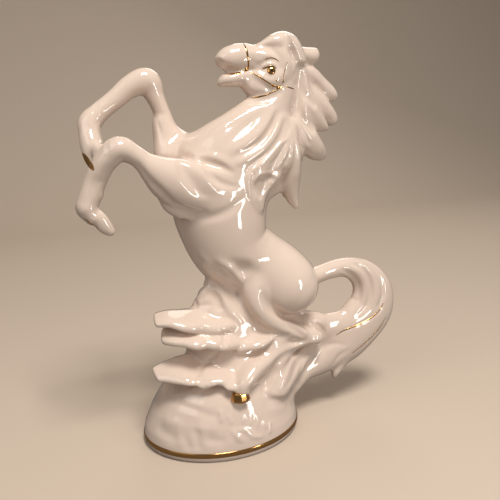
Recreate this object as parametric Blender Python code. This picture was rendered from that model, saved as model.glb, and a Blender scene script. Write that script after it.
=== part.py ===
"""A rearing horse on a rocky mound: a porcelain figurine, cast in one piece. Metres, +Z up.

The horse stands in the XZ plane. Its head looks towards -X, its tail swings out towards +X, and
the side that shows the most is -Y. The origin is on the floor, in the middle of its length and
width, so the oval foot, which carries the horse further back, lies a little towards -X of it.
Each form of the body is a loft: oval rings carried along a smooth path through a few stations.
The lofts overlap, and a voxel remesh makes one clay body of them. Creases are then pressed in and
ridges raised along paths on its surface, smoothing softens everything as a glaze does, and the
foot is cut flat, with a recess and a vent hole below.
"""

import math

import bmesh
import bpy
import numpy as np
from mathutils import Vector
from mathutils.bvhtree import BVHTree

# Driving dimensions, in metres.
HEIGHT = 0.270           # foot to the crown of the forelock
FOOT_LENGTH = 0.111      # widest oval of the foot, along X
FOOT_WIDTH = 0.086       # widest oval of the foot, along Y
FOOT_RING = 0.005        # width of the flat ring that the figurine stands on
FOOT_RECESS = 0.003      # depth of the recess inside that ring
VENT_WIDTH = 0.008       # vent hole of the casting, in the middle of the recess
VENT_DEPTH = 0.014
TRUNK_WIDTH = 0.048      # across the ribs
FORELEG_SPREAD = 0.032   # between the middles of the two forearms
TAIL_THICKNESS = 0.017   # across the thickest part of the tail
CLAY_GRAIN = 1.4         # voxel of the remesh, in station millimetres
FACETS_KEPT = 0.076      # share of the remeshed facets kept

SIDES = 28               # points round each ring
STEP = 2.5               # distance between rings, in station millimetres
CARVING_STEP = 0.8       # distance between points along a crease

DRAWN_HEIGHT = 270.0     # the height that the stations below are written for, in millimetres
UNIT = HEIGHT / DRAWN_HEIGHT
FOOT_X = -25.5           # the stations' own zero, the middle of the foot, seen from the origin

TRUNK_DRAWN, SPREAD_DRAWN, TAIL_DRAWN = 48.0, 32.0, 17.0  # these widths in the stations

CUT_BELOW = 0.002        # how far the recess's and the vent's cutters start below the floor
FLOOR_BLOCK = (0.4, 0.3, 0.02)

# The recess's rounded edge: share of its depth, and how far inward, in metres.
RECESS_EDGE = [(0.6, 0.0004), (0.9, 0.0012), (1.0, 0.0026)]

# The foot: height of each ring and its share of the widest oval.
FOOT_PROFILE = [
    (-4, 0.950), (0, 0.965), (1.2, 0.985), (4.2, 1.0), (9, 1.006), (13, 0.99), (18, 0.945),
    (24, 0.89), (30, 0.83), (36, 0.76), (41, 0.67), (45, 0.55), (48, 0.35),
]

# Each form's stations: x, y, z, half height, half width.
# The half height lies in the XZ plane, square to the path; the half width lies along Y.
FORMS = {
    "body": [
        (48.5, -1, 245.5, 11, 8.5), (43.5, -1, 233, 14, 9.5), (39, -1, 223.5, 15.5, 11),
        (33, -1, 212.5, 19.5, 14), (22.5, -1, 197.5, 27, 18), (10, 0, 182.5, 31, 21.5),
        (3.5, 0, 166.5, 31.5, 23.5), (5, 0, 150, 29.5, 24), (10, 0, 133.5, 26.5, 22.5),
        (25, 0, 119, 26, 20.5), (39.5, 0, 109.5, 25, 20), (51, 0, 103, 21, 19),
    ],
    "chest": [
        (6.5, 0, 191.5, 22, 16), (-4, 2, 191, 17.5, 15), (-10, 4, 192, 11.5, 12),
    ],
    "skull": [
        (18.5, -1, 253.5, 7, 7), (24.5, -1, 253, 7.5, 7), (31, -1, 251.5, 9.5, 8.5),
        (38.5, -1, 250.5, 12.5, 10), (46, -1, 249.5, 14, 10.5),
    ],
    "muzzle": [
        (6, -1, 251.5, 2, 3), (8.5, -1, 251.5, 5, 5.5), (12.5, -1, 252, 7.5, 7.5),
        (17, -1, 252.5, 8.5, 8), (23, -1, 253, 8.5, 7.5),
    ],
    "jaw": [
        (7.5, -1, 238.5, 3, 4.5), (10, -1, 239, 4, 6), (15, -1, 240, 4, 6.5), (20, -1, 240.5, 4.5, 7),
        (24, -1, 239.5, 5.5, 7),
    ],
    "cheek": [
        (27.5, -1, 239, 7.5, 7.5), (30.5, -1, 238.5, 9.5, 9), (35.5, -1, 239.5, 10, 10.5),
        (40.5, -1, 241, 9.5, 10.5), (44.5, -1, 242.5, 7.5, 10),
    ],
    "near_ear": [
        (47, -7, 253.5, 4.5, 3.5), (48.5, -8, 259, 3.5, 3), (50, -8, 263.5, 2, 2),
        (50, -8, 266, 1, 1.5),
    ],
    "forelock": [
        (32, -3, 260, 1.5, 3), (36, -4, 261, 3, 4), (42.5, -3, 262, 5.5, 7), (49.5, -1, 261, 8, 9),
        (54.5, 0, 257, 7.5, 9), (58, 0, 249.5, 6, 8),
    ],
    "mane_mass": [
        (57, 2, 251, 6.5, 8), (60, 3, 233.5, 8.5, 9.5), (59.5, 3, 214, 9.5, 10),
        (53.5, 3, 196, 11.5, 12), (45.5, 2, 178.5, 12, 13), (36.5, 1, 163.5, 9, 12),
        (33, 0, 153, 5.5, 9),
    ],
    "mane1": [
        (60.5, 4, 256, 5, 6), (67.5, 6, 255, 5.5, 5.5), (72.5, 7, 255, 5.5, 5),
        (74.5, 7.5, 257.5, 3, 3.5),
    ],
    "mane2": [
        (57.5, 4, 250, 6, 5), (70.5, 8, 242, 7.5, 6.5), (78.5, 10, 236, 7, 5.5), (87, 11, 231, 4.5, 4),
        (91, 11, 228.5, 2, 2.5),
    ],
    "mane3": [
        (59.5, 3, 237, 5.5, 5), (75, 7, 225.5, 7, 6), (83.5, 9, 219, 6, 5), (89.5, 10, 213, 4, 3.5),
        (91.5, 10, 211, 2, 2),
    ],
    "mane4": [
        (55, 1, 238.5, 4.5, 5), (63, 0, 226.5, 7.5, 6.5), (69.5, 1, 217, 7.5, 6), (77, 3, 211, 5, 4.5),
        (82, 4, 208, 2, 2.5),
    ],
    "mane5": [
        (54, 1, 219.5, 4, 5), (63, 0, 205.5, 8, 7.5), (70.5, 2, 196.5, 8, 6.5), (77.5, 4, 191, 5, 4.5),
        (80.5, 4.5, 188, 2, 2.5),
    ],
    "mane6": [
        (50, -6, 212, 3, 4), (51, -8, 196.5, 6, 7), (51.5, -6, 183.5, 7, 7.5), (53, -4, 172.5, 6, 6),
        (55.5, -3, 162.5, 3.5, 4), (57, -3, 156, 1.5, 2.5),
    ],
    "withers_lock": [
        (45, -9, 214.5, 4, 3), (37.5, -12.5, 200.5, 5.5, 5), (29.5, -14.5, 190.5, 6.5, 5.5),
        (23.5, -16, 183.5, 5.5, 5), (21, -16.5, 176, 4.5, 4.5), (22, -16, 168, 3.5, 4),
        (25.5, -14, 160.5, 2.5, 3.5),
    ],
    "mid_lock": [
        (50.5, -8, 209.5, 4, 4), (45, -11, 197, 6, 5.5), (40.5, -12.5, 186.5, 6, 5.5),
        (37, -12.5, 177, 4.5, 5), (32, -12.5, 169.5, 3.5, 4.5), (28, -12, 161.5, 2.5, 3.5),
    ],
    "far_lock1": [
        (55, 12, 227.5, 3.5, 3), (49.5, 14, 207.5, 5.5, 5), (44.5, 17, 190.5, 6, 5),
        (39.5, 17, 173.5, 5.5, 5), (40.5, 12, 157, 3, 4),
    ],
    "far_lock2": [
        (61.5, 11, 233.5, 4, 4), (61.5, 13, 210.5, 5.5, 5), (57.5, 15, 190.5, 6.5, 5.5),
        (52, 14, 172, 5.5, 5), (47, 10, 161.5, 3, 4),
    ],
    "far_foreleg": [
        (-4, 8, 180, 13, 11), (-14.5, 12, 194.5, 11.5, 10), (-25, 14, 207.5, 8, 8),
        (-28, 15, 220, 5.5, 6), (-32, 15, 231, 6, 6), (-36.5, 15, 239.5, 8.5, 7.5),
        (-46.5, 14.5, 237, 7, 6.5), (-56, 13.5, 230, 6, 5.5), (-66, 12.5, 222.5, 6, 6),
        (-73, 11, 216, 7, 7), (-74, 8, 209.5, 6.5, 6.5), (-73.5, 5, 203.5, 7, 7),
        (-73, 1.5, 197.5, 6.5, 6.5), (-72.5, -1.5, 192.5, 5, 5), (-73, -3.5, 189.5, 3, 3.5),
    ],
    "far_arm_web": [
        (-29, 15, 214, 5.5, 6.5), (-28, 13, 204, 7, 8), (-26, 9, 194.5, 10, 9),
    ],
    "fetlock_bridge": [
        (-71.5, 1, 201.5, 4, 4), (-70, -6, 199.5, 4.5, 4.5), (-68.5, -11, 197, 4, 4),
    ],
    "near_foreleg": [
        (0, -10, 169, 16.5, 12), (-17.5, -14, 176, 16.5, 12), (-31, -16, 181.5, 13.5, 11),
        (-39, -17, 187, 9.5, 9), (-45.5, -17, 192.5, 6.5, 7), (-51.5, -17, 197.5, 6, 6.5),
        (-60, -16, 201, 7.5, 8), (-67.5, -14.5, 194.5, 6.5, 7), (-71.5, -13, 188.5, 6.5, 6.5),
        (-74.5, -12, 182.5, 6.5, 6), (-77.5, -11.5, 175.5, 6.5, 6.5), (-80, -11, 169.5, 6.5, 7),
    ],
    "ergot": [
        (-74, -12, 179, 3, 4), (-73, -12, 174.5, 2.5, 3.5),
    ],
    "elbow": [
        (-36.5, -12.5, 169.5, 1.5, 3), (-33.5, -13, 165, 2.5, 4), (-27.5, -14, 161, 3, 4.5),
        (-21, -14.5, 158.5, 2, 4), (-16, -14.5, 157, 1, 3),
    ],
    "near_pastern": [
        (-80.5, -11, 166.5, 6, 7), (-77.5, -11.5, 162, 5, 6),
    ],
    "near_hoof": [
        (-74.5, -13, 166, 2.5, 2.5), (-72.5, -13.5, 161.5, 4, 3), (-70.5, -13.5, 156.5, 4, 3),
        (-68.5, -13, 153, 3, 2),
    ],
    "near_thigh": [
        (30, -6, 118.5, 19, 13), (40.5, -8, 110.5, 21, 15), (47, -9, 104.5, 21.5, 16),
        (51.5, -9, 101, 19.5, 16),
    ],
    "near_gaskin": [
        (29, -9, 115, 15, 11), (23.5, -12, 105.5, 12, 11.5), (23, -14.5, 95.5, 10, 10.5),
        (27.5, -16, 87, 8.5, 9), (37, -15.5, 78, 7, 8), (49, -13, 71.5, 6, 7), (61.5, -11, 66, 6, 6.5),
        (68, -11, 63, 5, 6),
    ],
    "near_cannon": [
        (67, -11, 63, 4.5, 5.5), (55, -13, 61, 3.5, 5), (41.5, -17, 59.5, 4, 5),
        (27.5, -22, 57.5, 4.5, 5.5), (17, -27, 55, 5.5, 6.5), (10, -30, 51, 5.5, 7),
        (6, -32, 48, 5, 6.5), (5, -32.5, 44.5, 5, 6),
    ],
    "far_thigh": [
        (38, 7, 112.5, 21, 13), (54.5, 9, 96.5, 21.5, 16),
    ],
    "far_gaskin": [
        (33, 11, 94.5, 14.5, 11), (41, 13, 77, 11, 9), (55, 12, 64.5, 8, 7.5), (67, 10, 56.5, 7, 7),
        (75.5, 8, 51, 6, 6.5),
    ],
    "far_cannon": [
        (73.5, 4, 52, 6, 6.5), (62, -3, 48, 7.5, 6.5), (51, -10, 44.5, 9, 7),
        (43, -16, 40.5, 9.5, 7.5), (36.5, -21, 37.5, 9, 7.5), (33, -24, 34.5, 7, 6.5),
    ],
    "hair_web": [
        (77.5, 4, 48, 10, 8), (65, 4, 42, 11, 10), (53, 4, 33, 13.5, 14), (42.5, 2, 22.5, 13.5, 18),
    ],
    "hock_web": [
        (72, 3, 57.5, 7.5, 7), (62.5, 3, 51, 8, 8), (50.5, 2, 48.5, 8, 9), (41, 2, 44, 9, 12),
    ],
    "tail": [
        (64, 0, 103.5, 8, 9), (71, 0, 105, 6.5, 7.5), (78, 0, 106.5, 6, 6.5), (85.5, 0, 108, 6.5, 6),
        (95.5, 1, 108.5, 7, 6), (106, 1.5, 105.5, 9, 6.5), (115.5, 2, 98, 12.5, 7),
        (121, 2, 86, 16.5, 7.5), (118, 2, 73.5, 18.5, 8), (108.5, 1.5, 63.5, 19, 8.5),
        (97, 1, 52.5, 16, 8.5), (85, 1, 45.5, 13.5, 9), (73, 1, 39.5, 11, 9.5), (62.5, 0, 34, 9, 10),
        (52.5, -1, 25.5, 7.5, 11),
    ],
    "tail_spur": [
        (98, 0, 43, 6, 5), (94, -1, 35, 5, 4.5), (90, -2, 29, 3.5, 3.5), (88.5, -2, 25, 2, 2.5),
    ],
    "tail_web": [
        (102.5, 1, 61.5, 12, 7), (91, 1, 63.5, 11, 7), (79, 1, 63.5, 11, 7), (66, 1, 67, 9.5, 8),
    ],
    "seat_web": [
        (56.5, 1, 73, 6, 8), (65.5, 1, 72.5, 5.5, 8), (74.5, 1, 70.5, 5.5, 7),
    ],
    "rock_core": [
        (2, 0, 20.5, 41.5, 36), (3, 0, 30, 39, 33), (3.5, -1, 42.5, 35, 29), (4, -1, 57.5, 32, 26),
        (4.5, -1, 70.5, 30.5, 24), (6, 0, 82.5, 29, 20), (8.5, 0, 92, 22, 15),
    ],
    "rock_right": [
        (32.5, 2, 77.5, 11.5, 13), (33, 0, 65.5, 16.5, 17), (32.5, -1, 53, 18, 21),
        (29, -1, 39.5, 19.5, 26), (26, 0, 28.5, 22, 30),
    ],
    "rock_peak": [
        (1, 0, 83, 24.5, 16), (-1.5, 0, 93, 16.5, 12.5), (-3.5, 0, 99.5, 10, 10),
        (-5, 0, 105.5, 5.5, 7), (-6, 0, 109.5, 2.5, 4),
    ],
    "slab1": [
        (13, 2, 79, 6.5, 12), (-1, -3, 84, 8, 21), (-14, -5, 87, 7.5, 19), (-26.5, -6, 89.5, 6, 15),
        (-37, -6, 91.5, 4, 11), (-43, -6, 92.5, 2, 6),
    ],
    "slab2": [
        (37, 2, 62, 6, 12), (21, -4, 67, 7.5, 18), (0, -7, 72, 8, 22), (-18, -8, 75.5, 7, 19),
        (-30.5, -7, 78, 5.5, 14), (-39.5, -6, 80, 2.5, 7),
    ],
    "slab3": [
        (13.5, 2, 47, 7, 22), (-1, -4, 52, 9, 27), (-17.5, -7, 55.5, 9, 24), (-31.5, -8, 57, 7, 19),
        (-41.5, -8, 56.5, 4.5, 13), (-49, -8, 55.5, 2.5, 6),
    ],
    "slab4": [
        (19, -10, 57.5, 7, 14), (10, -15, 58, 8, 15), (-2, -22, 57.5, 6.5, 14), (-13, -27, 57, 5, 11),
        (-22, -28, 54.5, 2.5, 6),
    ],
}

# Each crease that is pressed into the clay, or ridge (depth below 0) that is raised: the Y of the
# middle that it is repeated about on the far side, or None, then stations (x, y, z, depth, half width).
CREASES = {
    "shoulder_crease": (None, [
        (-20, -7, 194.5, 0.5, 1.8), (-15, -17, 192.5, 2, 2.3), (-8, -18.5, 190.5, 2.6, 2.5),
        (-1, -20, 188.5, 2, 2.2), (5.5, -21.5, 185, 0.6, 1.7),
    ]),
    "shoulder_ridge": (0, [
        (-18.5, -6.5, 197.5, -0.5, 2.5), (-9.5, -15, 195.5, -1.1, 2.8), (-0.5, -19, 192.5, -1.1, 2.7),
        (6.5, -21, 188, -0.4, 2.2),
    ]),
    "arm_hollow": (None, [
        (-27, -21.5, 192.5, 0.8, 2), (-24, -25, 187, 3.2, 3), (-20, -26.5, 181, 3.6, 3.3),
        (-16, -26, 175, 2, 2.8), (-11.5, -25, 172, 0.5, 2),
    ]),
    "arm_muscle": (None, [
        (-16, -21.5, 189.5, -0.8, 2.6), (-12, -24, 183.5, -1.4, 2.7), (-7.5, -24.5, 177, -1.2, 2.8),
        (-3.5, -24, 173, -0.4, 2.8),
    ]),
    "forearm_crease": (None, [
        (-50.5, -22.5, 192, 0.4, 1.5), (-45, -23, 184, 1.3, 1.8), (-39, -24, 177, 2, 2),
        (-32.5, -22.5, 169.5, 2.4, 2.1), (-26, -21, 165, 2.4, 2.1), (-18, -20.5, 162, 1.6, 2.3),
        (-11.5, -22, 161, 0.6, 2.2),
    ]),
    "behind_arm": (0, [
        (-17, -19, 157, 0.6, 2.6), (-9, -22, 158, 1.1, 2.8), (-0.5, -24, 160.5, 1.2, 2.8),
        (7.5, -23.5, 164.5, 0.9, 2.6), (14.5, -22, 169.5, 0.4, 2.2),
    ]),
    "flank_hollow": (0, [
        (6.5, -21.5, 126.5, 1, 3.6), (13, -21, 121.5, 3.6, 4.8), (20, -21, 119.5, 1.2, 4),
    ]),
    "flank_fold": (0, [
        (-4, -19.5, 130, -0.4, 2.4), (3, -20, 124, -2, 2.5), (9, -19, 117, -1.8, 2.5),
        (12.5, -17.5, 109, -0.6, 2.4),
    ]),
    "thigh_crease": (0, [
        (23.5, -23.5, 107.5, 0.6, 2.2), (25.5, -24.5, 100.5, 2.4, 2.6), (31.5, -22.5, 92, 3.6, 2.8),
        (42, -16.5, 84, 3.4, 2.6), (54.5, -4.5, 77, 1.6, 2.2),
    ]),
    "neck_ridge1": (-1, [
        (22, -11, 221.5, -0.2, 1.6), (13, -11.5, 216.5, -0.5, 1.8), (2.5, -11.5, 211, -0.5, 2),
        (-5.5, -12, 205.5, -0.2, 2),
    ]),
    "neck_groove1": (-1, [
        (29.5, -13.5, 220, 0.2, 2), (19.5, -15, 213, 0.9, 2.6), (12.5, -16.5, 208, 0.6, 2.6),
        (4, -17.5, 202, 0.2, 2.4),
    ]),
    "neck_ridge2": (-1, [
        (36.5, -13, 221, -0.3, 1.8), (31, -15.5, 212.5, -0.7, 2), (23.5, -17.5, 205.5, -0.7, 2.2),
        (15, -19, 200.5, -0.4, 2.2), (7.5, -19, 198, -0.1, 2),
    ]),
    "neck_groove2": (-1, [
        (40, -13, 219.5, 0.3, 1.6), (35, -15.5, 211.5, 0.8, 1.8), (27.5, -18, 203, 0.8, 2),
        (17.5, -19.5, 197.5, 0.6, 2), (8, -20, 193.5, 0.2, 2),
    ]),
    "neck_ridge3": (-1, [
        (42, -13.5, 216, -0.3, 1.8), (36.5, -16, 207.5, -0.8, 2), (28.5, -18.5, 199, -0.9, 2.2),
        (19, -20, 193, -0.7, 2.2), (10.5, -21, 190, -0.3, 2),
    ]),
    "neck_groove3": (-1, [
        (45.5, -13, 214.5, 0.3, 1.4), (40.5, -16.5, 205, 0.8, 1.6), (32, -19.5, 196, 0.9, 1.6),
        (23.5, -20.5, 190, 0.8, 1.6), (16.5, -21, 185, 0.3, 1.6),
    ]),
    "hair_edge": (None, [
        (48.5, -13.5, 208, -0.4, 1), (45, -15.5, 203, -0.9, 1), (39.5, -17.5, 200, -1, 1),
        (33.5, -19.5, 195, -1, 1), (26, -21, 189, -1, 1.1), (20, -21, 186, -0.6, 1.2),
    ]),
    "hair_g1": (None, [
        (43, -16.5, 198.5, 0.3, 1), (38.5, -17.5, 192.5, 1, 1.1), (32.5, -19.5, 188, 0.6, 1.1),
    ]),
    "hair_g2": (None, [
        (47, -15.5, 201.5, 0.2, 0.8), (45.5, -17, 193, 0.8, 0.9), (42, -18, 185.5, 0.6, 1),
        (36.5, -17.5, 181.5, 0.3, 1),
    ]),
    "curl_g1": (None, [
        (20, -21.5, 182, 0.5, 1.2), (19, -21.5, 175.5, 0.9, 1.2), (20.5, -21, 168.5, 0.5, 1.2),
    ]),
    "curl_g2": (None, [
        (25, -19.5, 171.5, 0.5, 1.4), (24, -20.5, 177, 1.2, 1.5), (29, -18, 179, 1.1, 1.4),
        (34.5, -17.5, 178, 0.5, 1.3),
    ]),
    "lock_r5": (5, [
        (53.5, -6, 215.5, -0.4, 1), (55.5, -8.5, 208, -0.8, 1.1), (62.5, -6.5, 198, -0.5, 1.2),
        (70.5, -3, 191.5, -0.2, 1.2),
    ]),
    "lock_g5": (5, [
        (56, -6.5, 215, 0.3, 1), (59.5, -8, 207, 1, 1.1), (64.5, -6.5, 199.5, 0.6, 1.2),
    ]),
    "lock_g6": (5, [
        (50.5, -13, 209.5, 0.3, 0.9), (52.5, -14, 202.5, 1, 1), (60, -7, 195.5, 0.6, 1),
    ]),
    "lock_g1": (5, [
        (55.5, -8, 243, 1, 1.9), (59, -7.5, 247, 1.8, 1.9), (70, 3, 249, 0.8, 1.6),
    ]),
    "lock_g2": (5, [
        (57, -6.5, 236.5, 1.6, 2.2), (62, -7, 230.5, 2.6, 2.4), (69, -5.5, 224, 1.4, 2.2),
    ]),
    "lock_g3": (5, [
        (57.5, -6.5, 220, 1.4, 2), (61.5, -7, 212.5, 2.2, 2.1), (67.5, -6.5, 207, 1, 1.8),
    ]),
    "cheek_hollow": (-1, [
        (22, -7.5, 241.5, 0.6, 2.2), (24.5, -9, 239, 1.6, 3), (27.5, -10, 235.5, 1.2, 2.8),
    ]),
    "brow_hollow": (-1, [
        (29, -8.5, 247.5, 0.2, 1.2), (32.5, -10, 249, 0.7, 1.2), (36.5, -11, 250, 0.9, 1.2),
        (40.5, -11, 248.5, 0.7, 1.2), (42.5, -11.5, 245, 0.3, 1.2),
    ]),
    "face_ridge": (-1, [
        (22.5, -8.5, 255.5, -0.2, 1.4), (29, -8.5, 255, -0.5, 1.4), (35, -10.5, 253.5, -0.4, 1.4),
    ]),
    "lip_under": (-1, [
        (4.5, -3.5, 250, 0.9, 1.6), (8, -5, 247.5, 1.7, 2.2), (13, -5, 245.5, 1.5, 2.1),
        (17.5, -5, 244.5, 0.7, 1.4),
    ]),
    "mouth_corner": (-1, [
        (19, -5, 245, 0.4, 1), (19.5, -7.5, 241.5, 0.6, 1.1), (19.5, -6.5, 237.5, 0.4, 1.1),
    ]),
    "crown_groove": (0, [
        (47.5, -9.5, 265, 1, 1.6), (49, -11, 260, 3.2, 2.2), (52, -9.5, 253.5, 2.8, 2.2),
        (53.5, -9.5, 247.5, 0.8, 1.7),
    ]),
    "forelock_groove": (0, [
        (33.5, -7.5, 259.5, 0.6, 1.6), (37.5, -9.5, 257.5, 1.7, 1.9), (41, -11, 254, 1.8, 1.9),
        (43, -11.5, 249.5, 0.8, 1.6),
    ]),
    "hock_r1": (None, [
        (60, -3.5, 78, -0.6, 1.2), (64.5, -8, 73.5, -1.5, 1.3), (67, -14, 69.5, -1.2, 1.3),
        (68, -16.5, 65.5, -0.4, 1.1),
    ]),
    "hock_g1": (None, [
        (54.5, -5.5, 76.5, 0.7, 1.2), (57.5, -13, 74.5, 1.8, 1.4), (62, -16, 70, 1.6, 1.4),
        (64, -17.5, 66, 0.6, 1.2),
    ]),
    "under_cannon": (None, [
        (60.5, -16, 59, 1.2, 2), (50.5, -19, 58.5, 2, 2.2), (40, -24.5, 58.5, 2.6, 2.6),
        (32, -27, 55.5, 2.8, 2.8), (28.5, -27, 48.5, 2.6, 2.8), (24.5, -28, 42.5, 1.9, 2.4),
        (20.5, -30, 39, 1, 2),
    ]),
    "fold_r1": (None, [
        (59.5, -8.5, 54, -0.5, 1.4), (46.5, -19, 50.5, -1, 1.6), (39, -26, 45, -0.8, 1.6),
        (33, -30, 39, -0.5, 1.6),
    ]),
    "fold_g1": (None, [
        (62.5, -9.5, 51.5, 0.5, 1.4), (52, -17.5, 47.5, 1.3, 1.6), (44, -25, 41.5, 1, 1.6),
        (38.5, -28.5, 38, 0.4, 1.6),
    ]),
    "fold_r2": (None, [
        (68, -7.5, 49.5, -0.4, 1.6), (56.5, -15, 43, -1, 1.8), (53.5, -11.5, 31.5, -0.5, 1.8),
    ]),
    "tail_g1": (1.5, [
        (92, -5.5, 108.5, 0.5, 1.4), (101, -4.5, 102.5, 1.6, 1.6), (106.5, -3, 93.5, 1.8, 1.7),
        (107, -2.5, 85, 1.3, 1.7), (102.5, -3, 78, 0.5, 1.6),
    ]),
    "tail_g2": (1.5, [
        (98.5, -4, 113, 0.4, 1.4), (108.5, -5, 107.5, 1.7, 1.7), (114, -5.5, 98, 2, 1.8),
        (115.5, -5.5, 88, 1.7, 1.8), (112.5, -5.5, 78, 1.1, 1.8), (104.5, -6, 71.5, 0.4, 1.6),
    ]),
    "tail_g3": (1.5, [
        (109, -1.5, 113.5, 0.4, 1.4), (119, -3, 106.5, 1.7, 1.6), (124.5, -5, 97, 1.9, 1.7),
        (126, -6, 86, 1.8, 1.7), (123, -6.5, 77, 1.1, 1.7),
    ]),
    "tail_line1": (1.5, [
        (127, -5.5, 78.5, 0.5, 0.9), (122, -6.5, 72, 0.8, 0.9), (112, -7, 67.5, 0.8, 0.9),
        (101, -7.5, 64.5, 0.7, 0.9), (92.5, -7, 62, 0.5, 0.9), (87, -6, 59, 0.3, 0.9),
    ]),
    "tail_g4": (1.5, [
        (72.5, -6.5, 45.5, 0.4, 1.6), (78, -5.5, 50.5, 1, 1.8), (85.5, -6.5, 52.5, 0.8, 1.8),
        (94.5, -8, 51, 0.3, 1.8),
    ]),
    "tail_g5": (1.5, [
        (96.5, -8, 46.5, 0.3, 1.6), (89, -8, 43, 0.8, 1.6), (84.5, -7.5, 36.5, 0.5, 1.4),
    ]),
    "tail_notch": (None, [
        (72, -7.5, 70, 1.2, 1.4), (76.5, -6.5, 64.5, 1.6, 1.5), (78.5, -5.5, 60, 0.6, 1.3),
    ]),
    "rock_wave": (-4, [
        (-24, -3.5, 96.5, -0.4, 2), (-16, -3, 99.5, -0.9, 2), (-10.5, -5, 105, -1.1, 2),
        (-5.5, -7, 108, -1.1, 2), (-1, -10, 106, -1, 2), (1, -13.5, 99.5, -0.9, 2.2),
        (4, -17.5, 93, -0.8, 2.4), (9, -20.5, 86.5, -0.4, 2.4),
    ]),
    "rock_wave_in": (-4, [
        (-6, -9, 104, 0.8, 2), (-3, -11.5, 101, 1.8, 2.4), (-2.5, -15.5, 95.5, 1.1, 2.4),
    ]),
    "slab_gap": (-4, [
        (-34.5, -16, 75, 1.8, 2), (-25.5, -23, 74, 2.6, 2.2), (-17.5, -27, 73.5, 2, 2.2),
        (-9, -28.5, 71.5, 1.2, 1.8), (0.5, -27.5, 69, 0.6, 1.6),
    ]),
    "ledge_g": (None, [
        (3.5, -26.5, 67, 0.6, 1.6), (12, -26, 66.5, 0.7, 1.6), (20, -23, 67.5, 0.4, 1.6),
    ]),
    "slab34": (-4, [
        (-10.5, -25, 69, 0.3, 1.4), (-16.5, -24, 62.5, 0.9, 1.4), (-24, -28.5, 59, 0.7, 1.4),
        (-26.5, -28.5, 55, 0.4, 1.4),
    ]),
    "slab4_side": (None, [
        (3.5, -27.5, 65, 0.4, 1.6), (1, -34, 61, 1, 1.6), (-1, -35, 55, 0.9, 1.6),
        (-1.5, -32.5, 48, 1.4, 1.6), (-1.5, -34, 44.5, 0.8, 1.6),
    ]),
    "under_slab4": (None, [
        (-23.5, -20, 46, 0.8, 2), (-17, -25.5, 45, 1.5, 2.2), (-8.5, -28.5, 46.5, 1.3, 2.2),
        (-2.5, -31.5, 50, 0.6, 2),
    ]),
    "under_slab3": (-4, [
        (-39.5, -0.5, 40.5, 1.3, 2.4), (-35, -11, 42.5, 2, 2.6), (-28, -17.5, 45, 1.1, 2.4),
    ]),
    "terrace": (-4, [
        (-41, -10.5, 36, 0.3, 2.5), (-33, -22.5, 36, 1, 2.4), (-26.5, -28.5, 34, 0.8, 2.5),
        (-19, -33.5, 31.5, 0.8, 2.5), (-12.5, -36, 30.5, 0.3, 2.3),
    ]),
    "throat_crease": (-1, [
        (23.5, -6, 227.5, 1.2, 1.6), (27.5, -9.5, 227, 2.6, 2.1), (33, -11, 227.5, 2.6, 2.1),
        (38, -11, 229.5, 1.8, 1.8), (43, -11, 232, 0.7, 1.4),
    ]),
    "nostril": (-1, [
        (5, -5, 251, 0.9, 0.9), (6.5, -6, 250, 0.7, 0.9),
    ]),
    "shin_groove": (None, [
        (-66, -22.5, 197, 0.3, 1.4), (-69, -20, 190, 0.6, 1.5), (-71.5, -18, 183, 0.5, 1.4),
    ]),
    "far_arm_g": (None, [
        (-32.5, 10, 217.5, 0.3, 1.3), (-31.5, 7.5, 210.5, 0.8, 1.4), (-30.5, 4.5, 203, 0.5, 1.4),
    ]),
    "stifle_hollow": (None, [
        (6.5, -14.5, 108, 1.2, 3), (11, -17.5, 99, 2.6, 3.4), (15.5, -21.5, 90, 3.2, 3.4),
        (23.5, -22.5, 80, 3.4, 3.2), (32.5, -22.5, 74.5, 2.6, 2.8), (42, -21.5, 72, 1, 2.2),
    ]),
    "curl_hollow": (None, [
        (24, -21, 179.5, 1.2, 2), (23, -21, 174.5, 2.8, 2.4), (25, -19.5, 169, 1.8, 2),
    ]),
    "tongue_edge": (None, [
        (21, -31, 36.5, 0.7, 1.6), (25.5, -31.5, 32, 1.5, 1.8), (33.5, -30.5, 30, 1.6, 1.8),
        (46.5, -17.5, 25.5, 1.2, 1.8), (53, -12, 28.5, 0.4, 1.6),
    ]),
    "mane_valley": (None, [
        (56.5, -8.5, 250, 0.6, 2), (58.5, -7, 243, 2.2, 2.6), (58.5, -6.5, 233, 2.6, 2.6),
        (57.5, -6, 223, 1.6, 2.2), (56, -6.5, 217, 0.5, 1.8),
    ]),
    "hock_g3": (None, [
        (64, -2.5, 78.5, 0.5, 1.2), (68, -7, 74.5, 1.3, 1.4), (73.5, -7.5, 68, 1, 1.4),
    ]),
    "lock_hollow": (None, [
        (44, -17.5, 191, 0.5, 1.8), (42, -18, 185, 1.9, 2.4), (43, -10.5, 177, 2, 2.4),
        (43.5, -9, 172.5, 0.8, 1.8),
    ]),
    "near_slab_gap": (None, [
        (-42.5, -14, 88.5, 1.4, 1.7), (-36.5, -7.5, 84, 1.6, 1.8), (-32, -19.5, 87.5, 0.7, 1.7),
        (-25, -23, 87.5, 0.4, 1.5),
    ]),
    "slab_end": (None, [
        (-4.5, -26.5, 86, 0.5, 1.4), (-3.5, -25, 79.5, 1.4, 1.6), (-5.5, -29.5, 76, 1.6, 1.7),
        (-8.5, -30, 73.5, 1, 1.6),
    ]),
}

TRUNK_FORMS = ("body", "chest", "near_thigh", "far_thigh")
FORELEG_FORMS = (
    "near_foreleg", "ergot", "elbow", "near_pastern", "near_hoof", "far_foreleg", "far_arm_web",
    "fetlock_bridge",
)
TAIL_FORMS = ("tail", "tail_spur", "tail_web")


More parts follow.
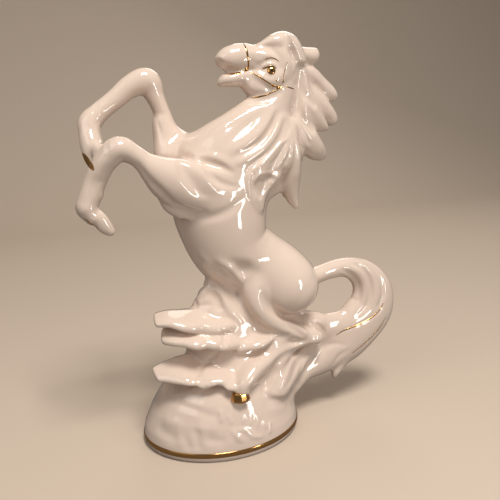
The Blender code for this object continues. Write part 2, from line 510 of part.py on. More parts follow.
def adjusted(name, stations):
    """The stations with the driving widths applied."""
    rows = []
    for x, y, z, tall, wide in stations:
        if name in TRUNK_FORMS:
            wide *= TRUNK_WIDTH / UNIT / TRUNK_DRAWN
            y *= TRUNK_WIDTH / UNIT / TRUNK_DRAWN
        if name in FORELEG_FORMS:
            y *= FORELEG_SPREAD / UNIT / SPREAD_DRAWN
        if name in TAIL_FORMS:
            wide *= TAIL_THICKNESS / UNIT / TAIL_DRAWN
        rows.append((x, y, z, tall, wide))
    return rows


def smooth_rows(rows, step):
    """Rows read from a Catmull-Rom curve through the stations, about one step apart."""
    ends = [rows[0]] + list(rows) + [rows[-1]]
    out = []
    for p0, p1, p2, p3 in zip(ends, ends[1:], ends[2:], ends[3:]):
        count = max(1, int(round(math.dist(p1[:3], p2[:3]) / step)))
        for k in range(count):
            t = k / count
            row = [
                0.5 * (2 * b + (c - a) * t + (2 * a - 5 * b + 4 * c - d) * t * t
                       + (3 * b - a - 3 * c + d) * t * t * t)
                for a, b, c, d in zip(p0, p1, p2, p3)
            ]
            out.append(row)
    out.append(list(rows[-1]))
    return out


def skin_rings(mesh, rings, first_pole, last_pole):
    """Bridges one ring to the next and closes both ends on a point."""
    loops = [[mesh.verts.new(point) for point in ring] for ring in rings]
    for one, other in zip(loops, loops[1:]):
        for k in range(len(one)):
            n = (k + 1) % len(one)
            mesh.faces.new((one[k], one[n], other[n], other[k]))
    for loop, pole, back in ((loops[0], first_pole, True), (loops[-1], last_pole, False)):
        tip = mesh.verts.new(pole)
        for k in range(len(loop)):
            n = (k + 1) % len(loop)
            corner = (loop[n], loop[k], tip) if back else (loop[k], loop[n], tip)
            mesh.faces.new(corner)


def loft(mesh, stations):
    """Oval rings along the path, each square to it, with a rounded end at both tips."""
    rows = smooth_rows(stations, STEP)
    for row in rows:
        row[3:] = [max(half, 0.4) for half in row[3:]]
    centres = [Vector(row[:3]) for row in rows]
    across = Vector((0.0, 1.0, 0.0))
    rings = []
    frames = []
    for k, row in enumerate(rows):
        ahead = centres[min(k + 1, len(rows) - 1)] - centres[max(k - 1, 0)]
        ahead.normalize()
        side = (across - ahead * across.dot(ahead)).normalized()
        up = ahead.cross(side)
        frames.append((centres[k], ahead, side, up, row[3], row[4]))

    def ring(frame, share, push):
        centre, ahead, side, up, tall, wide = frame
        middle = centre + ahead * push
        return [
            (middle + up * (share * tall * math.cos(a)) + side * (share * wide * math.sin(a))) * UNIT
            for a in (2 * math.pi * i / SIDES for i in range(SIDES))
        ]

    first, last = frames[0], frames[-1]
    reach_0, reach_1 = min(first[4:]), min(last[4:])
    for angle in (70, 50, 25):
        a = math.radians(angle)
        rings.append(ring(first, math.cos(a), -reach_0 * math.sin(a)))
    rings += [ring(frame, 1.0, 0.0) for frame in frames]
    for angle in (25, 50, 70):
        a = math.radians(angle)
        rings.append(ring(last, math.cos(a), reach_1 * math.sin(a)))
    skin_rings(
        mesh, rings, (first[0] - first[1] * reach_0) * UNIT, (last[0] + last[1] * reach_1) * UNIT
    )


def oval_rings(levels):
    """Level ovals, from (height, half length, half width), in metres."""
    count = 64
    return [
        [
            Vector((long * math.cos(a), wide * math.sin(a), z))
            for a in (2 * math.pi * i / count for i in range(count))
        ]
        for z, long, wide in levels
    ]


def foot(mesh):
    """The flared oval foot, carried a little below the floor so that a flat cut can end it."""
    levels = [(z * UNIT, FOOT_LENGTH / 2 * s, FOOT_WIDTH / 2 * s) for z, s in FOOT_PROFILE]
    rings = oval_rings(levels)
    low, high = levels[0][0], levels[-1][0] + 1.0 * UNIT
    skin_rings(mesh, rings, Vector((0, 0, low)), Vector((0, 0, high)))


def object_of(mesh, name):
    data = bpy.data.meshes.new(name)
    bmesh.ops.recalc_face_normals(mesh, faces=mesh.faces)
    mesh.to_mesh(data)
    mesh.free()
    obj = bpy.data.objects.new(name, data)
    obj.location.x = FOOT_X * UNIT
    bpy.context.scene.collection.objects.link(obj)
    return obj


def helper(obj):
    obj.hide_render = True
    obj.display_type = "WIRE"
    return obj


def recess():
    """The shallow oval recess inside the ring that the foot stands on."""
    floor_share = dict(FOOT_PROFILE)[0]
    long = FOOT_LENGTH / 2 * floor_share - FOOT_RING
    wide = FOOT_WIDTH / 2 * floor_share - FOOT_RING
    levels = [(-CUT_BELOW, long, wide)]
    levels += [(FOOT_RECESS * share, long - inward, wide - inward) for share, inward in RECESS_EDGE]
    mesh = bmesh.new()
    rings = oval_rings(levels)
    skin_rings(mesh, rings, Vector((0, 0, -CUT_BELOW)), Vector((0, 0, FOOT_RECESS)))
    return helper(object_of(mesh, "foot_recess"))


def vent():
    """The round hole that lets the slip and the kiln's hot air out."""
    mesh = bmesh.new()
    half = VENT_WIDTH / 2
    bmesh.ops.create_cone(
        mesh, cap_ends=True, segments=32, radius1=half, radius2=half, depth=VENT_DEPTH
    )
    bmesh.ops.translate(mesh, vec=(0.0, 0.0, VENT_DEPTH / 2 - CUT_BELOW), verts=mesh.verts)
    return helper(object_of(mesh, "vent_hole"))


def floor_block():
    """A block whose top is the floor: it cuts the foot flat."""
    mesh = bmesh.new()
    bmesh.ops.create_cube(mesh, size=1.0)
    bmesh.ops.scale(mesh, vec=FLOOR_BLOCK, verts=mesh.verts)
    bmesh.ops.translate(mesh, vec=(0.0, 0.0, -FLOOR_BLOCK[2] / 2), verts=mesh.verts)
    return helper(object_of(mesh, "floor_block"))


def porcelain():
    material = bpy.data.materials.new("porcelain")
    material.use_nodes = True
    shader = material.node_tree.nodes["Principled BSDF"]
    shader.inputs["Base Color"].default_value = (0.86, 0.81, 0.74, 1.0)
    shader.inputs["Roughness"].default_value = 0.08
    shader.inputs["Metallic"].default_value = 0.0
    shader.inputs["Coat Weight"].default_value = 0.6
    return material


def cut(obj, name, tool):
    boolean = obj.modifiers.new(name, "BOOLEAN")
    boolean.operation = "DIFFERENCE"
    boolean.solver = "EXACT"
    boolean.object = tool


def clay_body():
    """All forms and the foot, joined by a voxel remesh and softened, as a mesh of its own."""
    mesh = bmesh.new()
    foot(mesh)
    for name, stations in FORMS.items():
        loft(mesh, adjusted(name, stations))
    rough = object_of(mesh, "rough_clay")
    clay = rough.modifiers.new("one_clay_body", "REMESH")
    clay.mode = "VOXEL"
    clay.voxel_size = CLAY_GRAIN * UNIT
    clay.use_smooth_shade = True
    joins = rough.modifiers.new("softened_joins", "SMOOTH")
    joins.factor = 0.5
    joins.iterations = 6
    graph = bpy.context.evaluated_depsgraph_get()
    data = bpy.data.meshes.new_from_object(rough.evaluated_get(graph))
    data.name = "horse_figurine"
    bpy.data.objects.remove(rough, do_unlink=True)
    return data


def laid_on(surface, stations, middle=None):
    """The path through the stations, about CARVING_STEP apart, with each point laid on the
    nearest of the clay's surface. A middle turns the path about that Y first."""
    rows = np.array(smooth_rows(stations, CARVING_STEP))
    if middle is not None:
        rows[:, 1] = 2 * middle - rows[:, 1]
    for row in rows:
        row[:3] = surface.find_nearest(Vector(row[:3]) * UNIT)[0] / UNIT
    return rows


def carving(data):
    """How far each vertex sinks, in station millimetres: for each path that passes it, depth
    times e^-(distance / half width)^2, measured from the nearest point of the path."""
    points = np.empty(3 * len(data.vertices), np.float32)
    data.vertices.foreach_get("co", points)
    points = points.reshape(-1, 3) / UNIT
    surface = BVHTree.FromPolygons([v.co for v in data.vertices], [p.vertices for p in data.polygons])
    sunk = np.zeros(len(points))
    for middle, stations in CREASES.values():
        for turn in (None,) if middle is None else (None, middle):
            path = laid_on(surface, stations, turn)
            reach = 2.5 * path[:, 4].max()
            near = np.flatnonzero(
                ((points > path[:, :3].min(0) - reach) & (points < path[:, :3].max(0) + reach)).all(1)
            )
            apart = np.linalg.norm(points[near, None] - path[None, :, :3], axis=2)
            nearest = apart.argmin(1)
            share = apart[np.arange(len(near)), nearest] / path[nearest, 4]
            sunk[near] += path[nearest, 3] * np.exp(-(share**2))
    return sunk


def carve(obj, sunk):
    """Moves the surface in along the creases and out along the ridges, by two Displace modifiers
    whose vertex groups hold how far."""
    for name, way in (("pressed_in", 1.0), ("raised", -1.0)):
        depth = np.maximum(sunk * way, 0.0)
        group = obj.vertex_groups.new(name=name)
        for index in np.flatnonzero(depth > 0.01):
            group.add([int(index)], float(depth[index] / depth.max()), "REPLACE")
        displace = obj.modifiers.new(name, "DISPLACE")
        displace.direction = "NORMAL"
        displace.mid_level = 0.0
        displace.strength = -way * float(depth.max()) * UNIT
        displace.vertex_group = name


def figurine():
    data = clay_body()
    data.materials.clear()
    data.materials.append(porcelain())
    obj = bpy.data.objects.new("horse_figurine", data)
    obj.location.x = FOOT_X * UNIT
    bpy.context.scene.collection.objects.link(obj)
    carve(obj, carving(data))

    glaze = obj.modifiers.new("glaze", "SMOOTH")
    glaze.factor = 0.5
    glaze.iterations = 2

    fewer = obj.modifiers.new("fewer_facets", "DECIMATE")
    fewer.ratio = FACETS_KEPT

    cut(obj, "flat_foot", floor_block())
    cut(obj, "foot_recess", recess())
    cut(obj, "vent_hole", vent())
    return obj


for old in list(bpy.data.objects):
    bpy.data.objects.remove(old, do_unlink=True)
figurine()
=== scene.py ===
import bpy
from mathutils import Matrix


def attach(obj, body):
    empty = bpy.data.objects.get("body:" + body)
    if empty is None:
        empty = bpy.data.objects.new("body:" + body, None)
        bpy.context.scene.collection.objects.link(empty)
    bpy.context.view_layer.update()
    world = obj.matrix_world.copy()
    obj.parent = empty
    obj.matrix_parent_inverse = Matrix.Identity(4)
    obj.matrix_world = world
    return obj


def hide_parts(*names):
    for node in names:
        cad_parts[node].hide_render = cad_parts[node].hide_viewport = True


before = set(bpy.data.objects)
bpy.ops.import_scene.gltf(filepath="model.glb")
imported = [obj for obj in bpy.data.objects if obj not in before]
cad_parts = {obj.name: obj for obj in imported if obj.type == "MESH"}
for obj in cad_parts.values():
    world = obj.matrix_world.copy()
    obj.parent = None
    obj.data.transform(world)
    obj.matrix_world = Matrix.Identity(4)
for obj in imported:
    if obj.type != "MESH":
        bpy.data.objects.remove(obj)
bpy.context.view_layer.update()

# A porcelain horse rearing on a rocky mound, glazed warm white and lined with gold lustre.
# Lengths in the tables are millimetres from the middle of the foot; the mesh is in metres.
# The body is modelled as clay: a grid of numbers, below 0 inside the figure and above 0 outside.
# Each form is an oval carried along a smooth path and runs softly into the ones before it. The
# rock's slabs are squarer. Then creases are pressed in and ridges raised, and the skin is the
# surface where the numbers cross 0.

import math

import bmesh
import bpy
import numpy as np
from mathutils import Matrix

MM = 0.001
FOOT_X = -25.5            # middle of the foot, from the middle of the figurine's length

# The clay.
CLAY_LOW, CLAY_HIGH = (-95, -50, -4), (150, 50, 278)    # the block that holds the figure
CLAY_STEP = 0.8           # grid spacing
FAR_OUT = 9.0             # the number where nothing is near
THINNEST = 0.3            # least half width of a form or a crease
FORM_STEP, CREASE_STEP, LINE_STEP = 1.6, 1.0, 0.6   # steps along the paths
CREASE_REACH = 2.6        # how many of its widths a crease reaches
SLAB_SOFT, SLAB_POWER = 2.0, 3      # how softly the rock's slabs join, and how square they are
MOST_TRIANGLES = 196000
NORMAL_REACH = 0.45       # how far to each side the surface's slope is read
LEAST_SLOPE = 0.3         # slope that a point moving to the surface reckons with at least
FAR_SETTLES = 12          # moves that bring a path's copy onto the far side's surface
FLAT_BELOW = 0.2          # what lies lower than this is set down on the floor

# The foot: half lengths of its oval at the widest, the ring it stands on, the recess inside the
# ring, and the vent hole's radius and top. Then heights, and each one's share of the widest oval.
FOOT_LONG, FOOT_WIDE = 55.5, 43.0
RING, RECESS = 5.0, 3.0
VENT, VENT_TOP = 4.0, 13.0
FOOT_HEIGHTS = [0, 1.2, 4.2, 9, 13, 18, 24, 30, 36, 41, 45, 48]
FOOT_SHARES = [0.965, 0.99, 1.003, 0.993, 0.978, 0.94, 0.89, 0.83, 0.76, 0.67, 0.55, 0.35]

# The gold: the line round the foot, how far the brush lines and the dots stand over the glaze and
# reach under it, and the two gilded hooves.
LINE_Z, LINE_WIDE, LINE_LIFT = 5.5, 3.6, 0.35
BRUSH_LIFT, LINE_OVER, LINE_UNDER = 0.10, 0.005, 0.25
HAIRLINE = 0.05           # least width of a brush line
DOT_RINGS, DOT_OVER, DOT_UNDER = [0.25, 0.5, 0.7, 0.85, 0.96, 1.0], 0.01, 0.3
HEAD_MIDDLE = -1.0        # the Y that the head's two sides mirror about
HIND_HOOF = (3.5, -34, 41.25, 6, 5.5, 3.25)  # middle and half sizes of the near hind hoof
HOOF_FACETS, HOOF_TURN = 9, -1.396           # its facets, and where one of them faces
HOOF_FLARE, HOOF_EDGE = 0.15, 0.16           # how it widens downwards and rounds in at its ends
FORE_HOOF = (-77.25, 194.25, 5, 1.5, -0.47)  # far forehoof: middle (x, z), half axes and tilt

# Colours and finishes.
GLAZE, GLAZE_ROUGH, GLAZE_COAT = (0.82, 0.655, 0.54), 0.07, 0.5
GOLD = (0.60, 0.33, 0.12)
PUPIL, PUPIL_RADIUS = (0.05, 0.02, 0.01), 0.75
# PAPER_SHADE_BELOW is painted shade: the paper's colour near the floor for every ray but the
# camera's
PAPER, PAPER_SHADE_BELOW = (0.66, 0.54, 0.43), (0.18, 0.16, 0.145)
DARK_BELOW, DARK_BLUR = 60.0, 40.0           # height of the dark part of the paper, and its blur

# The room, in metres: the floor's front edge, where the sweep starts and its radius, the wall's
# top, and how far both run to each side. The lamps: name, turn from the front towards +X and rise
# in degrees, distance, width, height and power. All of them look at LAMP_AIM above the floor.
FLOOR_FRONT, WALL_START, SWEEP, WALL_TOP, WALL_SIDE = 2.5, 0.75, 0.55, 3.0, 3.0
LAMPS = [
    ("window", 31.0, 1.0, 0.6, 0.07, 0.26, 0.8),
    ("ceiling", 2.0, 64.0, 1.2, 0.34, 0.34, 11.6),
    ("left", -60.0, 35.0, 1.3, 0.8, 0.8, 2.6),
    ("back", 150.0, 40.0, 1.2, 0.6, 0.6, 2.0),
]
LAMP_AIM, LAMP_COLOUR = 0.13, (1.0, 0.97, 0.93)
AIR, AIR_STRENGTH = (1.0, 0.97, 0.94), 0.2

# The camera: its place from the middle of the foot, its yaw, pitch and roll in radians, and its
# focal length in a picture so many points wide.
CAMERA_EYE = (-94.288, -349.936, 221.870)
CAMERA_TURNS = (0.325744, 0.246558, -0.0220415)
FOCAL, PICTURE = 560.0, 500.0

# Each form: how softly it joins, then stations (x, y, z, half height in the XZ plane, half width
# along Y).
FORMS = {
    "body": (6, [(48.5, -1, 245.5, 11, 8.5), (43.5, -1, 233, 14, 9.5), (39, -1, 223.5, 15.5, 11),
        (33, -1, 212.5, 19.5, 14), (22.5, -1, 197.5, 27, 18), (10, 0, 182.5, 31, 21.5),
        (3.5, 0, 166.5, 31.5, 23.5), (5, 0, 150, 29.5, 24), (10, 0, 133.5, 26.5, 22.5),
        (25, 0, 119, 26, 20.5), (39.5, 0, 109.5, 25, 20), (51, 0, 103, 21, 19)]),
    "chest": (6, [(6.5, 0, 191.5, 22, 16), (-4, 2, 191.5, 18.5, 15), (-10, 4, 193, 16, 13),
        (-15, 6, 195, 13, 10)]),
    "skull": (3, [(18.5, -1, 253.5, 7, 7), (24.5, -1, 253, 7.5, 7), (31, -1, 251.5, 9.5, 8.5),
        (38.5, -1, 250.5, 12.5, 10), (46, -1, 249.5, 14, 10.5)]),
    "muzzle": (2, [(6, -1, 251.5, 2, 3), (8.5, -1, 251.5, 5, 5.5), (12.5, -1, 252, 7.5, 7.5),
        (17, -1, 252.5, 8.5, 8), (23, -1, 253, 8.5, 7.5)]),
    "jaw": (1.5, [(7, -1, 238, 2.5, 4), (9.5, -1, 239.5, 4, 6), (13, -1, 240, 4.5, 7),
        (17, -1, 241, 5.5, 7), (21, -1, 241, 5.5, 7.5), (24, -1, 239.5, 5.5, 7.5)]),
    "cheek": (1.5, [(27.5, -1, 238.5, 8, 8), (30.5, -1, 238, 9.5, 10), (35.5, -1, 239, 10, 11),
        (40.5, -1, 240.5, 9.5, 11.5), (44.5, -1, 242.5, 7.5, 10.5)]),
    "near_ear": (1.5, [(47, -7, 253.5, 4.5, 3.5), (48.5, -8, 259, 3.5, 3), (50, -8, 263.5, 2, 2),
        (50, -8, 266, 1, 1.5)]),
    "forelock": (2, [(32, -3, 260, 1.5, 3), (36, -4, 261, 3, 4), (42.5, -3, 262, 5.5, 7),
        (49.5, -1, 261, 8, 9), (54.5, 0, 257, 7.5, 9), (58, 0, 249.5, 6, 8)]),
    "mane_mass": (4, [(57, 2, 251, 6.5, 8), (60, 3, 233.5, 8.5, 9.5), (59.5, 3, 214, 9.5, 10),
        (53.5, 3, 196, 11.5, 12), (45, 2, 180.5, 11.5, 12), (33.5, 1, 166.5, 6, 10),
        (29.5, 0, 156, 4, 8)]),
    "mane1": (1.5, [(60.5, 4, 256, 5, 6), (67.5, 6, 255, 5.5, 5.5), (72.5, 7, 255, 5.5, 5),
        (74.5, 7.5, 257.5, 3, 3.5)]),
    "mane2": (2.5, [(57.5, 4, 250, 6, 5), (70.5, 8, 242, 7.5, 6.5), (78.5, 10, 236.5, 7, 6),
        (87, 11, 231.5, 5.5, 5), (90.5, 11, 229.5, 3.5, 3.5)]),
    "mane3": (2.5, [(59.5, 3, 237, 5.5, 5), (75, 7, 225.5, 7, 6), (83.5, 9, 219, 6.5, 5.5),
        (89, 10, 214, 5, 4), (90.5, 10, 212.5, 3, 3)]),
    "mane4": (2.5, [(55, 1, 238.5, 4.5, 5), (63, 0, 226.5, 7.5, 6.5), (69.5, 1, 217, 7.5, 6),
        (77, 3, 211, 5, 4.5), (82, 4, 208, 2, 2.5)]),
    "mane5": (2.5, [(54, 1, 219.5, 4, 5), (63, 0, 205.5, 8, 7.5), (70.5, 2, 196.5, 8, 7),
        (76.5, 4, 192, 6, 5), (79, 4.5, 189.5, 3, 3.5)]),
    "mane6": (2.5, [(50, -6, 212, 3, 4), (51, -8, 196.5, 6, 7), (51.5, -6, 183.5, 7, 7.5),
        (51.5, -4, 173.5, 7, 6.5), (53.5, -3, 164, 4.5, 4.5), (56.5, -3, 157, 2, 2.5)]),
    "withers_lock": (4, [(45, -9, 214.5, 4, 3), (37.5, -12.5, 200.5, 5.5, 5),
        (29.5, -14.5, 190.5, 6.5, 5.5), (23.5, -16, 183.5, 5.5, 5), (21, -16.5, 176, 4.5, 4.5),
        (22, -16, 168, 3.5, 4), (25.5, -14, 160.5, 2.5, 3.5)]),
    "mid_lock": (4, [(50.5, -8, 209.5, 4, 4), (45, -11, 197, 6, 5.5), (40.5, -12.5, 186.5, 6, 5.5),
        (35.5, -12.5, 178.5, 4.5, 5), (30, -12.5, 171, 3, 4.5), (26, -12, 163, 2.5, 3.5)]),
    "far_lock1": (2, [(55, 12, 227.5, 3.5, 3), (49.5, 14, 207.5, 5.5, 5), (44.5, 17, 190.5, 6, 5),
        (39, 17, 175, 5.5, 5), (34.5, 12, 160.5, 3, 4)]),
    "far_lock2": (2, [(61.5, 11, 233.5, 4, 4), (61.5, 13, 210.5, 5.5, 5),
        (57.5, 15, 190.5, 6.5, 5.5), (55, 14, 174.5, 5.5, 5), (55, 9, 164, 3, 4)]),
    "far_foreleg": (4, [(-4, 8, 180, 13, 11), (-14.5, 12, 194.5, 11.5, 10), (-25, 14, 207.5, 8, 8),
        (-28, 15, 220, 5.5, 6), (-32, 15, 231, 6, 6), (-36.5, 15, 239.5, 8.5, 7.5),
        (-46.5, 14.5, 237, 7, 6.5), (-56, 13.5, 230, 6, 5.5), (-66, 12.5, 222.5, 6, 6),
        (-73, 11, 216, 7, 7), (-74, 8, 209.5, 6.5, 6.5), (-73.5, 5, 203.5, 7, 7),
        (-73, 1.5, 197.5, 6.5, 6.5), (-72.5, -1.5, 192.5, 5, 5), (-73, -3.5, 189.5, 3, 3.5)]),
    "far_arm_web": (3, [(-29, 15, 214, 5.5, 6.5), (-28, 13, 204, 7, 8), (-26, 9, 194.5, 10, 9)]),
    "fetlock_bridge": (3, [(-71.5, 1, 201.5, 4, 4), (-70, -6, 199.5, 4.5, 4.5),
        (-68.5, -11, 197, 4, 4)]),
    "near_foreleg": (5, [(0, -10, 169, 16.5, 12), (-17.5, -14, 176, 16.5, 12),
        (-31, -16, 181.5, 13.5, 11), (-39, -17, 187, 9.5, 9), (-45.5, -17, 192.5, 6.5, 7),
        (-51.5, -17, 197.5, 6, 6.5), (-60, -16, 201, 7.5, 8), (-67.5, -14.5, 194.5, 6.5, 7),
        (-71.5, -13, 188.5, 6.5, 6.5), (-74.5, -12, 182.5, 6.5, 6), (-77.5, -11.5, 175.5, 6.5, 6.5),
        (-80, -11, 169.5, 6.5, 7)]),
    "ergot": (1.5, [(-74, -12, 179, 3, 4), (-73, -12, 174.5, 2.5, 3.5)]),
    "elbow": (2.5, [(-36.5, -12.5, 169.5, 1.5, 3), (-33.5, -13, 165, 2.5, 4),
        (-27.5, -14, 161, 3, 4.5), (-21, -14.5, 158.5, 2, 4), (-16, -14.5, 157, 1, 3)]),
    "near_pastern": (2, [(-80.5, -11, 166.5, 6, 7), (-77.5, -11.5, 162, 5, 6)]),
    "near_hoof": (1, [(-77, -12.5, 165, 3.5, 3.5), (-74, -13.5, 161, 4.5, 3.5),
        (-71, -13.5, 156, 4.5, 3), (-68, -13, 152.5, 3, 2.5)]),
    "near_thigh": (6, [(30, -6, 118.5, 19, 13), (40, -9, 111, 21, 15.5),
        (46.5, -10.5, 105, 21.5, 17), (50.5, -10.5, 101.5, 19.5, 17)]),
    "near_gaskin": (2, [(29, -9, 115, 15, 11), (23.5, -12, 105.5, 12, 11.5),
        (23, -14.5, 95.5, 10, 10.5), (27.5, -16, 87, 8.5, 9), (37, -15.5, 78, 7, 8),
        (49, -13, 71.5, 6, 7), (61.5, -11, 66, 6, 6.5), (68, -11, 63, 5, 6)]),
    "near_cannon": (3, [(67, -11, 63, 4.5, 5.5), (55, -13, 61, 3.5, 5), (41.5, -17, 59.5, 4, 5),
        (27.5, -22, 57.5, 4.5, 5.5), (17, -27, 55, 5.5, 6.5), (10, -30, 51, 5.5, 7),
        (6, -32, 48, 5, 6.5), (5, -32.5, 44.5, 5, 6)]),
    "far_thigh": (6, [(38, 7, 112.5, 21, 13), (54.5, 9, 96.5, 21.5, 16)]),
    "far_gaskin": (4, [(33, 11, 94.5, 14.5, 11), (41, 13, 77, 11, 9), (55, 12, 64.5, 8, 7.5),
        (67, 10, 56.5, 7, 7), (75.5, 8, 51, 6, 6.5)]),
    "far_cannon": (3, [(73.5, 4, 52, 6, 6.5), (62, -3, 48, 7.5, 6.5), (51, -10, 44.5, 9, 7),
        (43, -16, 40.5, 9.5, 7.5), (36.5, -21, 37.5, 9, 7.5), (33, -24, 34.5, 7, 6.5)]),
    "hair_web": (5, [(77.5, 4, 48, 10, 8), (65, 4, 42, 11, 10), (53, 4, 33, 13.5, 14),
        (42.5, 2, 22.5, 13.5, 18)]),
    "hock_web": (4, [(72, 3, 57.5, 7.5, 7), (62.5, 3, 51, 8, 8), (50.5, 2, 48.5, 8, 9),
        (41, 2, 44, 9, 12)]),
    "tail": (2, [(64, 0, 103.5, 8, 9), (71, 0, 105, 6.5, 7.5), (78, 0, 106.5, 6, 6.5),
        (85.5, 0, 108, 6.5, 6), (95.5, 1, 108.5, 7, 6.5), (106, 1.5, 105.5, 9, 7),
        (115.5, 2, 98, 12.5, 7.5), (121, 2, 86, 17, 8), (119.5, 2, 72.5, 19.5, 8.5),
        (110, 1.5, 62, 20, 9), (99, 1, 50.5, 17.5, 9), (86.5, 1, 43.5, 14.5, 9),
        (73.5, 1, 38, 11.5, 9.5), (62.5, 0, 34, 9, 10), (52.5, -1, 25.5, 7.5, 11)]),
    "tail_spur": (2, [(98, 0, 43, 6, 5), (94, -1, 35, 5, 4.5), (90, -2, 29, 3.5, 3.5),
        (88.5, -2, 25, 2, 2.5)]),
    "tail_web": (4, [(102.5, 1, 61.5, 12, 7), (91, 1, 63.5, 11, 7), (79, 1, 63.5, 11, 7),
        (66, 1, 67, 9.5, 8)]),
    "seat_web": (5, [(46.5, -1, 77.5, 4.5, 9), (56.5, 1, 73, 6, 8), (65.5, 1, 72.5, 5.5, 8),
        (74.5, 1, 70.5, 5.5, 7)]),
    "rock_core": (8, [(2, 0, 20.5, 41.5, 36), (3, 0, 30, 38.5, 32), (4.5, -1, 42.5, 32.5, 26),
        (5.5, -1, 57.5, 29.5, 22), (6, -1, 70, 28.5, 20), (7, 0, 82, 27, 17),
        (8.5, 0, 92, 22, 14)]),
    "rock_right": (6, [(31.5, 0, 78.5, 11.5, 14), (32, -3, 67, 16.5, 19), (31.5, -3, 54, 18, 22.5),
        (29, -1, 39.5, 19.5, 26), (26, 0, 28.5, 22, 30)]),
    "rock_peak": (3, [(1, 0, 83, 24.5, 16), (-1.5, 0, 93, 16.5, 12.5), (-3.5, 0, 99.5, 10, 10),
        (-5, 0, 105.5, 5.5, 7), (-6, 0, 109.5, 2.5, 4)]),
}

# The rock's slabs: how much each droops on its way out from the middle, then stations as above.
SLABS = {
    "slab1": (0.25, [(9.5, 0, 83, 3.5, 10), (1, -5, 86.5, 4, 15), (-7.5, -6, 87.5, 4.5, 17.5),
        (-16.5, -6, 89, 5, 15.5), (-26, -7, 91, 4, 16.5), (-36, -7, 93, 3, 12.5),
        (-42.5, -6, 92.5, 2.5, 10)]),
    "slab2": (0.25, [(15, 0, 71.5, 4, 12), (5, -6, 76, 4, 18), (-5.5, -8, 79, 4.5, 21.5),
        (-14.5, -8, 80.5, 4.5, 19), (-22, -8, 81, 4, 20), (-30.5, -8, 81.5, 3.5, 15),
        (-37.5, -6, 81, 3, 11)]),
    "slab3": (0.45, [(14.5, 0, 52.5, 3.5, 12), (0, -5, 57.5, 3.5, 17), (-11, -7, 59.5, 3.5, 21),
        (-20, -7, 60, 3.5, 23.5), (-30, -8, 60.5, 3, 20), (-39.5, -8, 58.5, 3, 14),
        (-46, -8, 56.5, 2.5, 9.5)]),
    "slab4": (0.45, [(19.5, -8, 53.5, 3, 17), (9.5, -12, 55, 3.5, 20), (-0.5, -14, 56.5, 3.5, 22),
        (-9.5, -16, 57.5, 3, 20), (-16.5, -18, 56.5, 3, 15), (-20, -18, 55.5, 2.5, 12)]),
    "slab5": (0.3, [(40.5, -5, 79, 3, 14), (29, -7, 77, 3, 17), (19, -8, 75.5, 3.5, 20),
        (11, -8, 74, 3.5, 18), (6, -8, 73, 3, 17)]),
}

